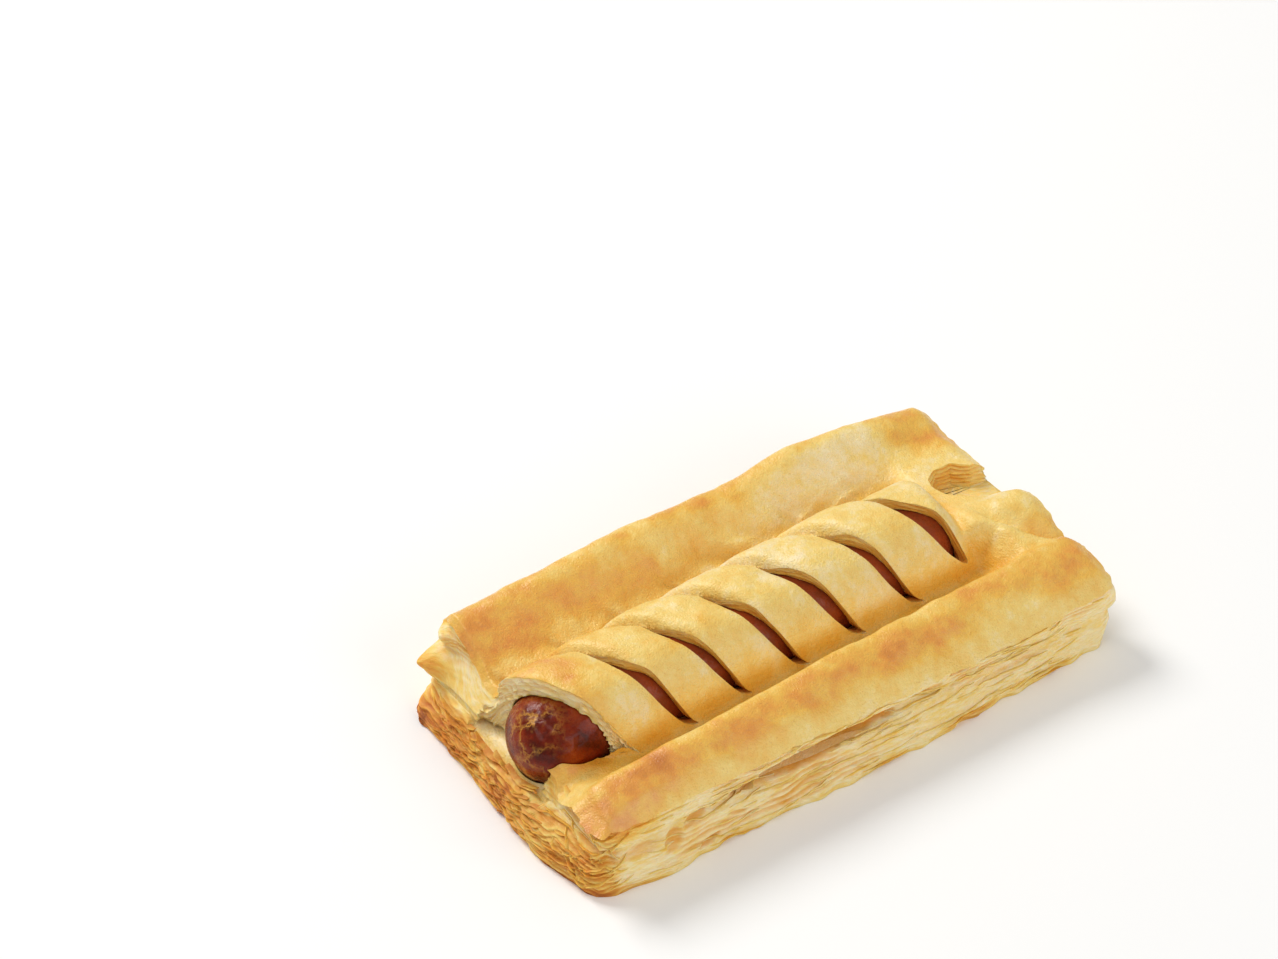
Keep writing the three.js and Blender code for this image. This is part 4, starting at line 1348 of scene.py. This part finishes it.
@dataclass
class ThinSheets:
    """The paper-thin leaves of dough that stand out of the flaky sides."""

    form: CaseForm
    side: FlakySide
    thickness: float = 0.17
    step: float = 0.7
    rows: int = 4
    root: float = 0.9
    wave: float = 0.28
    wave_length: float = 3.1
    seed: int = 7
    stretches: tuple[Stretch, ...] = (
        Stretch(6, 150, 30, 1.5, 20, 9, 34, 0.6, 0.5, 0.0),
        Stretch(4, 152, 60, 1.5, 17, 3, 11, 0.5, 0.6, 0.0, 0.10),
        Stretch(6, 150, 12, 0.5, 2.5, 6, 18, 0.5, 0.3, 0.10),
        Stretch(160, 236, 26, 1.0, 19, 7, 22, 0.7, 0.4, 0.05),
        Stretch(244, 388, 30, 1.0, 20, 9, 30, 0.7, 0.4, 0.05),
        Stretch(394, 470, 44, 0.8, 9.5, 6, 22, 0.7, 0.5, 0.18, 0.04),
        Stretch(394, 476, 60, 0.6, 9.5, 3, 12, 0.6, 0.5, 0.12, 0.14),
        Stretch(452, 482, 36, 1.5, 18, 3, 9, 0.8, 0.8, 0.0, 0.45),
    )

    def perimeter_point(self, along: Array) -> tuple[Array, Array]:
        """The plain outline's point at a distance round it, from the near front corner anticlockwise."""
        form = self.form
        length, width = form.back_x - form.front_x, form.far_y - form.near_y
        along = np.mod(along, 2 * (length + width))
        x = form.front_x + np.clip(along, 0, length) - np.clip(along - length - width, 0, length)
        y = form.near_y + np.clip(along - length, 0, width) - np.clip(along - 2 * length - width, 0, width)
        return x, y

    def leaf(self, start: float, length: float, z: float, stretch: Stretch, key: float) -> bpy.types.Object:
        """Builds one leaf as a bare surface.

        Args:
            start: Where it begins round the outline.
            length: How far it runs.
            z: The height that it follows.
            stretch: The stretch that it belongs to.
            key: A number that makes this leaf's shape its own.

        Returns:
            The leaf's grid.
        """
        columns = max(6, int(length / self.step))
        bpy.ops.object.select_all(action="DESELECT")
        bpy.ops.mesh.primitive_grid_add(x_subdivisions=columns, y_subdivisions=self.rows, size=2)
        obj = bpy.context.object
        gx, gy, _ = points_of(obj).T
        t, w = (gx + 1) / 2, (gy + 1) / 2
        along = start + length * t
        px, py = self.perimeter_point(along)
        layers = self.side.lamination
        number = np.round(layers.stack(px[:1], py[:1], np.array([z])))[0] + 0.5
        height = np.full_like(px, z)
        for _ in range(3):
            height = height + (number - layers.stack(px, py, height)) * layers.pitch * 0.8
        height = height + stretch.tilt * length * (t - 0.5) * math.copysign(1, math.sin(key))
        height = height + self.wave * noise(along / self.wave_length, np.full_like(along, key)) * w
        height = np.clip(height, 0.25, self.form.top_height(px, py) - 3)
        wall_x, wall_y, _ = self.side.place(px, py, height)
        nx, ny = self.form.outward(px, py)
        taper = np.sin(np.pi * np.clip(t, 0.0, 1.0)) ** 0.6
        ragged = 1 + 0.5 * noise(along / 2.3, np.full_like(along, key + 3))
        ragged = ragged + 0.25 * noise(along / 0.9, np.full_like(along, key + 5))
        out = stretch.out * taper * ragged
        reach = mix(-self.root, out, w)
        lift = stretch.curl * w * w * noise(along / 5.2, np.full_like(along, key + 8))
        move_points(obj, np.stack([wall_x + nx * reach, wall_y + ny * reach, height + lift], axis=1))
        baked = self.side.baking.at(wall_x, wall_y, height) + stretch.brown * (0.4 + 0.6 * w)
        store(obj, "bake", np.clip(baked + 0.06 * w, 0, 1))
        store(obj, "below", 12 - height)
        # Painted shade under the leaf, darkest at its root against the wall.
        store(obj, "hollow", 0.9 * (1 - w) ** 0.7)
        return obj

    def build(self, layers: bpy.types.Material) -> bpy.types.Object:
        """Builds every leaf and joins them into one piece."""
        rng = np.random.default_rng(self.seed)
        leaves = []
        for stretch in self.stretches:
            for _ in range(stretch.count):
                length = rng.uniform(stretch.shortest, stretch.longest)
                start = rng.uniform(stretch.start, max(stretch.start + 0.1, stretch.end - length))
                z = rng.uniform(stretch.low_z, stretch.high_z)
                leaves.append(self.leaf(start, length, z, stretch, rng.uniform(0, 900)))
        bpy.ops.object.select_all(action="DESELECT")
        for obj in leaves:
            obj.select_set(True)
        bpy.context.view_layer.objects.active = leaves[0]
        bpy.ops.object.join()
        piece = name_as(bpy.context.object, "pastry_thin_sheets")
        thicken = piece.modifiers.new("thickness", "SOLIDIFY")
        thicken.thickness = self.thickness
        thicken.offset = 0.0
        apply_modifiers(piece)
        piece.data.materials.clear()
        piece.data.materials.append(layers)
        finish_piece(piece, self.form, "pastry", 60.0)
        return piece


# ---- the sausage ----------------------------------------------------------------------------------------


@dataclass
class SausageBody:
    """The whole sausage, its round front end bare and wrinkled."""

    form: CaseForm
    segments: int = 128
    rings: int = 190
    end_power: float = 2.2
    lump: float = 0.22
    wrinkle: float = 0.32
    seat_gap: float = 0.25
    front_sink: float = 0.11
    dents: tuple[Patch, ...] = (
        Patch(-71.5, 0.5, 2.2, 1.6, 0.5),
        Patch(-68.5, -2.5, 1.8, 1.8, 0.45),
        Patch(-66.0, -6.0, 2.0, 1.4, 0.4),
        Patch(-72.0, -5.0, 1.4, 2.6, 0.3),
    )

    def shaped(self, name: str, segments: int, rings: int, extra: float, fine: bool) -> bpy.types.Object:
        """Builds the sausage, or the room that it takes.

        Args:
            name: The object's name.
            segments: Corners round it.
            rings: Rings of faces along it.
            extra: How much larger it is all round.
            fine: Whether it has lumps and wrinkles.

        Returns:
            The closed body.
        """
        form = self.form
        bpy.ops.object.select_all(action="DESELECT")
        bpy.ops.mesh.primitive_uv_sphere_add(segments=segments, ring_count=rings, radius=1)
        obj = name_as(bpy.context.object, name)
        px, py, along = points_of(obj).T
        turn = np.arctan2(py, px)
        radius = form.sausage_radius + extra
        half = (form.sausage_back_x - form.sausage_front_x) / 2 + extra
        into_cap = np.clip(half * (1 - np.abs(along)) / radius, 0, 1)
        across = radius * np.sqrt(1 - (1 - into_cap) ** self.end_power)
        x = (form.sausage_front_x + form.sausage_back_x) / 2 + half * along
        y0, z0 = across * np.cos(turn), across * np.sin(turn)
        z0 = np.where(z0 > 0, z0 * (1 - self.front_sink * ease(-56, -66, x)), z0)
        if fine:
            lump = self.lump * noise3(x / 9, y0 / 9, z0 / 9)
            ridge = 1 - np.abs(noise3(x / 3.4 + 2, y0 / 2.6, z0 / 2.6))
            where = (0.35 + 0.65 * ease(-58, -72, x)) * mix(0.6, 1.7, ease(2, -6, y0))
            wrinkle = self.wrinkle * (ridge**3 - 0.4) * where
            dent = np.zeros_like(x)
            for p in self.dents:
                dent = dent + p.strength * bell((x - p.x) / p.spread_x) * bell((y0 - p.y) / p.spread_y)
            dent = dent * ease(0, 5, z0)
            shrink = 1 + (lump + wrinkle - dent - 0.12) / radius
            y0, z0 = y0 * shrink, z0 * shrink
        move_points(obj, np.stack([x, y0 + form.axis_y(x), z0 + form.sausage_z], axis=1))
        return turn_outwards(obj)

    def seat(self) -> bpy.types.Object:
        """The room that the sausage takes in the sheets."""
        seat = self.shaped("seat", 96, 72, self.seat_gap, False)
        x, y, z = points_of(seat).T
        store(seat, "below", np.maximum(0.5, self.form.top_height(x, y) - z))
        return seat

    def build(self, skin: bpy.types.Material) -> bpy.types.Object:
        """Builds and dresses the sausage."""
        body = self.shaped("sausage_body", self.segments, self.rings, -0.05, True)
        body.data.materials.append(skin)
        x, y, z = points_of(body).T
        across = y - self.form.axis_y(x)
        store(body, "front", ease(-54, -66, x))
        store(body, "film", bell((x + 73) / 6) * bell((across + 1) / 7) * ease(8, 13, z))
        finish_piece(body, self.form, "sausage", 80.0)
        return body


# ---- finishes -------------------------------------------------------------------------------------------


def linear(hexa: str) -> tuple[float, float, float, float]:
    """A colour's linear values from its screen code."""
    parts = [int(hexa[k : k + 2], 16) / 255 for k in (0, 2, 4)]
    return (*(p / 12.92 if p <= 0.04045 else ((p + 0.055) / 1.055) ** 2.4 for p in parts), 1.0)


class Tree:
    """A shader tree that nodes are added to and linked in."""

    def __init__(self, tree: bpy.types.NodeTree) -> None:
        """Starts from an empty tree."""
        self.tree = tree
        tree.nodes.clear()

    def add(self, kind: str, inputs: dict | None = None, **settings: object) -> bpy.types.Node:
        """Adds a node.

        Args:
            kind: The node's type name without its Shader prefix.
            inputs: Values or sockets for its inputs, by name or number.
            settings: Properties of the node.

        Returns:
            The node.
        """
        node = self.tree.nodes.new("ShaderNode" + kind)
        for key, value in settings.items():
            setattr(node, key, value)
        return self.feed(node, inputs or {})

    def feed(self, node: bpy.types.Node, inputs: dict) -> bpy.types.Node:
        """Sets a node's inputs to values, or links sockets to them."""
        for key, value in inputs.items():
            if isinstance(value, Socket):
                self.tree.links.new(value, node.inputs[key])
            else:
                node.inputs[key].default_value = value
        return node

    def surface(self, inputs: dict) -> None:
        """Adds the shader and the material's output."""
        shader = self.add("BsdfPrincipled", inputs)
        self.add("OutputMaterial", {"Surface": shader.outputs[0]})

    def math(self, operation: str, *values: object) -> Socket:
        """Adds a sum and gives its result."""
        return self.add("Math", dict(enumerate(values)), operation=operation).outputs[0]

    def noise(self, vector: Socket, per_mm: float, detail: float, roughness: float) -> Socket:
        """Adds noise with so many features to the millimetre."""
        inputs = {"Vector": vector, "Scale": per_mm * 1000, "Detail": detail, "Roughness": roughness}
        return self.add("TexNoise", inputs).outputs[0]

    def range(self, value: object, low: float, high: float, new_low: float, new_high: float) -> Socket:
        """Maps a value from one range to another, held at its ends."""
        return self.add("MapRange", {0: value, 1: low, 2: high, 3: new_low, 4: new_high}).outputs[0]

    def ramp(self, value: Socket, stops: tuple[tuple[float, str], ...]) -> Socket:
        """Adds a colour ramp with the stops given as positions and screen colours."""
        node = self.add("ValToRGB", {0: value})
        elements = node.color_ramp.elements
        while len(elements) < len(stops):
            elements.new(0.5)
        for element, (position, colour) in zip(elements, stops):
            element.position = position
            element.color = linear(colour)
        return node.outputs[0]

    def blend(self, factor: object, a: object, b: object, kind: str = "MIX") -> Socket:
        """Mixes two colours."""
        node = self.add("Mix", {"Factor": factor, 6: a, 7: b}, data_type="RGBA", blend_type=kind)
        return node.outputs[2]

    def group(self, group: bpy.types.NodeTree, inputs: dict) -> bpy.types.Node:
        """Places a shared group."""
        node = self.tree.nodes.new("ShaderNodeGroup")
        node.node_tree = group
        return self.feed(node, inputs)


def new_group(
    name: str, inputs: dict[str, float], outputs: dict[str, str]
) -> tuple[bpy.types.NodeTree, Tree, bpy.types.Node, bpy.types.Node]:
    """Starts a shared shader group.

    Args:
        name: The group's name.
        inputs: Names of its number inputs and their usual values.
        outputs: Names of its outputs and their socket kinds.

    Returns:
        The group, its tree, its input node and its output node.
    """
    group = bpy.data.node_groups.new(name, "ShaderNodeTree")
    for key, value in inputs.items():
        socket = group.interface.new_socket(name=key, in_out="INPUT", socket_type="NodeSocketFloat")
        socket.default_value = value
    for key, kind in outputs.items():
        group.interface.new_socket(name=key, in_out="OUTPUT", socket_type=kind)
    tree = Tree(group)
    return group, tree, group.nodes.new("NodeGroupInput"), group.nodes.new("NodeGroupOutput")


@dataclass(frozen=True)
class BakeColours:
    """The colours that dough goes through in the oven."""

    stops: tuple[tuple[float, str], ...] = (
        (0.00, "F9E8BC"),
        (0.14, "F5D479"),
        (0.30, "F0BB4C"),
        (0.50, "E79A38"),
        (0.72, "C87526"),
        (1.00, "78380F"),
    )

    def group(self) -> bpy.types.NodeTree:
        """Builds the shared group that turns browning into colour."""
        group, tree, given, result = new_group(
            "baked_colour", {"Bake": 0.2, "Mottle": 0.1}, {"Colour": "NodeSocketColor"}
        )
        place = tree.add("TexCoord").outputs["Object"]
        mottle = tree.noise(place, 0.55, 3.0, 0.6)
        fine = tree.noise(place, 2.4, 2.0, 0.6)
        both = tree.math("ADD", tree.math("MULTIPLY", mottle, 0.7), tree.math("MULTIPLY", fine, 0.3))
        swing = tree.math("MULTIPLY", tree.math("SUBTRACT", both, 0.5), given.outputs["Mottle"])
        baked = tree.math("ADD", given.outputs["Bake"], swing)
        group.links.new(tree.ramp(baked, self.stops), result.inputs["Colour"])
        return group


@dataclass(frozen=True)
class Grain:
    """The fine bubbled grain of baked dough."""

    def group(self) -> bpy.types.NodeTree:
        """Builds the shared group that gives the grain's height and its pits."""
        group, tree, given, result = new_group(
            "dough_grain", {"Fineness": 1.0}, {"Height": "NodeSocketFloat", "Pits": "NodeSocketFloat"}
        )
        place = tree.add("TexCoord").outputs["Object"]
        scaled = tree.add("VectorMath", {0: place, "Scale": given.outputs["Fineness"]}, operation="SCALE")
        scaled = scaled.outputs[0]
        broad = tree.noise(scaled, 0.7, 4.0, 0.62)
        bubbles = tree.add("TexVoronoi", {"Vector": scaled, "Scale": 2100.0}, feature="SMOOTH_F1")
        bubbles = bubbles.outputs["Distance"]
        height = tree.math("ADD", tree.math("MULTIPLY", broad, 0.65), tree.math("MULTIPLY", bubbles, -0.35))
        group.links.new(height, result.inputs["Height"])
        specks = tree.noise(scaled, 1.6, 1.0, 0.5)
        group.links.new(tree.range(specks, 0.68, 0.76, 0.0, 1.0), result.inputs["Pits"])
        return group


def new_material(name: str) -> tuple[bpy.types.Material, Tree]:
    """Starts a material with an empty tree."""
    material = bpy.data.materials.new(name)
    material.use_nodes = True
    return material, Tree(material.node_tree)


def mark_value(tree: Tree, name: str) -> Socket:
    """Reads a number stored on the mesh."""
    return tree.add("Attribute", attribute_name=name).outputs["Fac"]


@dataclass(frozen=True)
class GlazedCrust:
    """Egg-washed top skin, with painted shade in its valleys."""

    colour: bpy.types.NodeTree
    grain: bpy.types.NodeTree
    subsurface: float = 0.06
    bump: float = 0.0007

    def material(self) -> bpy.types.Material:
        """Builds the finish."""
        material, tree = new_material("glazed_crust")
        bake = mark_value(tree, "bake")
        colour = tree.group(self.colour, {"Bake": bake, "Mottle": 0.3}).outputs["Colour"]
        grain = tree.group(self.grain, {"Fineness": 1.0})
        speck = tree.math("MULTIPLY", grain.outputs["Pits"], 0.35)
        colour = tree.blend(speck, colour, linear("C98A3C"))
        # Painted shade: the skin is multiplied towards a deep yellow in the valleys, where shade falls.
        colour = tree.blend(mark_value(tree, "valley"), colour, linear("F6DC96"), "MULTIPLY")
        bump = tree.add("Bump", {"Height": grain.outputs["Height"], "Distance": self.bump, "Strength": 0.7})
        tree.surface(
            {
                "Base Color": colour,
                "Roughness": tree.range(bake, 0.1, 0.7, 0.44, 0.34),
                "Normal": bump.outputs[0],
                "Subsurface Weight": self.subsurface,
                "Subsurface Radius": (1.0, 0.55, 0.25),
                "Subsurface Scale": 0.0016,
                "Coat Weight": tree.range(bake, 0.2, 0.5, 0.15, 0.8),
                "Coat Roughness": 0.36,
            }
        )
        return material


@dataclass(frozen=True)
class LayeredDough:
    """Cut or torn dough with its thin layers showing, and painted shade in its hollows."""

    colour: bpy.types.NodeTree
    grain: bpy.types.NodeTree
    # Colour of the painted shade in hollows.
    hollow_shade_colour: str = "F2BC45"
    line_length: float = 0.3
    line_height: float = 1.3
    bump: float = 0.0006

    def material(self) -> bpy.types.Material:
        """Builds the finish."""
        material, tree = new_material("layered_dough")
        bake = mark_value(tree, "bake")
        below = mark_value(tree, "below")
        place = tree.add("SeparateXYZ", {0: tree.add("TexCoord").outputs["Object"]})
        across = [tree.math("MULTIPLY", place.outputs[k], 1000 * self.line_length) for k in (0, 1)]
        up = tree.math("MULTIPLY", below, self.line_height)
        stretched = tree.add("CombineXYZ", {0: across[0], 1: across[1], 2: up}).outputs[0]
        lines = tree.add("TexNoise", {"Vector": stretched, "Scale": 1.0, "Detail": 2.0, "Roughness": 0.6})
        lines = lines.outputs[0]
        swing = tree.math("ADD", 0.5, tree.math("MULTIPLY", bake, 1.6))
        lined = tree.math("MULTIPLY", tree.range(lines, 0.35, 0.65, 0.10, -0.07), swing)
        baked = tree.math("ADD", bake, lined)
        colour = tree.group(self.colour, {"Bake": baked, "Mottle": 0.14}).outputs["Colour"]
        # Painted shade: hollows are multiplied towards deep yellow, or dark brown where the dough is more
        # baked.
        hollow = tree.range(mark_value(tree, "hollow"), 0.1, 0.9, 0.0, 0.85)
        deep = tree.blend(bake, linear(self.hollow_shade_colour), linear("8A4A18"))
        colour = tree.blend(hollow, colour, deep, "MULTIPLY")
        grain = tree.group(self.grain, {"Fineness": 1.3})
        height = tree.math("ADD", lines, tree.math("MULTIPLY", grain.outputs["Height"], 0.35))
        bump = tree.add("Bump", {"Height": height, "Distance": self.bump, "Strength": 0.8})
        tree.surface(
            {
                "Base Color": colour,
                "Roughness": tree.range(lines, 0.3, 0.7, 0.72, 0.55),
                "Normal": bump.outputs[0],
                "Subsurface Weight": 0.3,
                "Subsurface Radius": (1.0, 0.6, 0.3),
                "Subsurface Scale": 0.0016,
            }
        )
        return material


@dataclass(frozen=True)
class SausageSkin:
    """Moist, dark red-brown skin with a dried golden film at its bare end."""

    def material(self) -> bpy.types.Material:
        """Builds the finish."""
        material, tree = new_material("sausage_skin")
        place = tree.add("TexCoord").outputs["Object"]
        front = mark_value(tree, "front")
        broad = tree.noise(place, 0.14, 3.0, 0.6)
        fine = tree.noise(place, 0.9, 3.0, 0.6)
        base = tree.ramp(broad, ((0.30, "3C0B04"), (0.48, "701E06"), (0.62, "8A3008"), (0.80, "A04A14")))
        base = tree.blend(tree.range(front, 0.0, 0.5, 0.4, 0.0), base, linear("B25A2E"))
        vein = tree.noise(place, 0.11, 6.0, 0.62)
        ridge = tree.math("ABSOLUTE", tree.math("SUBTRACT", vein, 0.5))
        thin = tree.range(ridge, 0.005, 0.022, 1.0, 0.0)
        haze = tree.range(ridge, 0.0, 0.08, 0.6, 0.0)
        haze = tree.math("MULTIPLY", haze, tree.range(fine, 0.42, 0.58, 0.0, 1.0))
        film = tree.math("MULTIPLY", tree.math("MAXIMUM", thin, haze), mark_value(tree, "film"))
        colour = tree.blend(film, base, linear("C58A38"))
        height = tree.math("ADD", tree.math("MULTIPLY", broad, 0.6), tree.math("MULTIPLY", fine, 0.25))
        bump = tree.add("Bump", {"Height": height, "Distance": 0.0009, "Strength": 0.7})
        tree.surface(
            {
                "Base Color": colour,
                "Roughness": tree.range(fine, 0.3, 0.7, 0.20, 0.40),
                "Specular IOR Level": 0.15,
                "Normal": bump.outputs[0],
                "Subsurface Weight": 0.08,
                "Subsurface Radius": (1.0, 0.3, 0.2),
                "Subsurface Scale": 0.002,
                "Coat Weight": 0.08,
                "Coat Roughness": 0.08,
            }
        )
        return material


# ---- the studio -----------------------------------------------------------------------------------------


@dataclass(frozen=True)
class Softbox:
    """A large soft light aimed at the case."""

    name: str
    place: tuple[float, float, float]
    size: float
    watts: float
    colour: Colour = (1.0, 1.0, 1.0)

    def build(self) -> None:
        """Adds the light."""
        data = bpy.data.lights.new(self.name, "AREA")
        data.shape = "DISK"
        data.size = self.size
        data.energy = self.watts
        data.color = self.colour
        light = bpy.data.objects.new(self.name, data)
        light.location = self.place
        aim = -light.location
        light.rotation_euler = aim.to_track_quat("-Z", "Y").to_euler()
        bpy.context.collection.objects.link(light)


@dataclass(frozen=True)
class Studio:
    """The pale floor, the soft lights and the camera."""

    floor_size: float = 8.0
    floor_colour: str = "FBFBFA"
    sky: float = 0.40
    azimuth: float = -35.344
    elevation: float = 40.266
    distance: float = 1.3
    aim: tuple[float, float, float] = (0.019515, 0.08149, 0.0)
    focal_px: float = 4923.758
    frame_px: int = 1278
    sensor: float = 36.0
    lights: tuple[Softbox, ...] = (
        Softbox("back_softbox", (-0.25, 1.15, 1.15), 0.7, 17.0, (1.0, 0.985, 0.96)),
        Softbox("front_softbox", (0.35, -1.3, 0.75), 1.1, 6.5, (1.0, 0.99, 0.98)),
        Softbox("top_softbox", (-0.6, -0.1, 1.4), 0.7, 3.0),
    )

    def build(self) -> None:
        """Builds the floor, the sky, the lights and the camera."""
        bpy.ops.object.select_all(action="DESELECT")
        bpy.ops.mesh.primitive_plane_add(size=self.floor_size)
        floor = name_as(bpy.context.object, "floor")
        material, tree = new_material("pale_floor")
        tree.surface({"Base Color": linear(self.floor_colour), "Roughness": 0.9})
        floor.data.materials.append(material)
        world = bpy.data.worlds.new("studio")
        world.use_nodes = True
        sky = Tree(world.node_tree)
        background = sky.add("Background", {"Color": (1, 1, 1, 1), "Strength": self.sky})
        sky.add("OutputWorld", {"Surface": background.outputs[0]})
        bpy.context.scene.world = world
        for light in self.lights:
            light.build()
        self.camera()
        bpy.context.scene.view_settings.view_transform = "Standard"

    def camera(self) -> None:
        """Adds the camera on its circle round the aim."""
        a, e = math.radians(self.azimuth), math.radians(self.elevation)
        back = np.array([math.sin(a) * math.cos(e), -math.cos(a) * math.cos(e), math.sin(e)])
        data = bpy.data.cameras.new("camera")
        data.sensor_width = self.sensor
        data.lens = self.focal_px / self.frame_px * self.sensor
        data.clip_end = 50
        camera = bpy.data.objects.new("camera", data)
        camera.location = np.array(self.aim) + back * self.distance
        camera.rotation_euler = (math.pi / 2 - e, 0, a)
        bpy.context.collection.objects.link(camera)
        bpy.context.scene.camera = camera


def main() -> None:
    """Builds the case, the sausage and the studio."""
    logging.basicConfig(level=logging.INFO, format="%(name)s %(message)s")
    form = CaseForm()
    side = FlakySide(form, SideBaking(form))
    browning = Browning()
    colour = BakeColours().group()
    grain = Grain().group()
    crust = GlazedCrust(colour, grain).material()
    layers = LayeredDough(colour, grain).material()
    finishes = DoughFinishes(crust, layers)
    sausage = SausageBody(form)
    seat = sausage.seat()
    TopSheet(form, side, browning).build(seat, finishes)
    BottomSheet(form, side).build(seat, finishes)
    bpy.data.objects.remove(seat)
    ThinSheets(form, side).build(layers)
    sausage.build(SausageSkin().material())
    Studio().build()


if __name__ == "__main__":
    main()
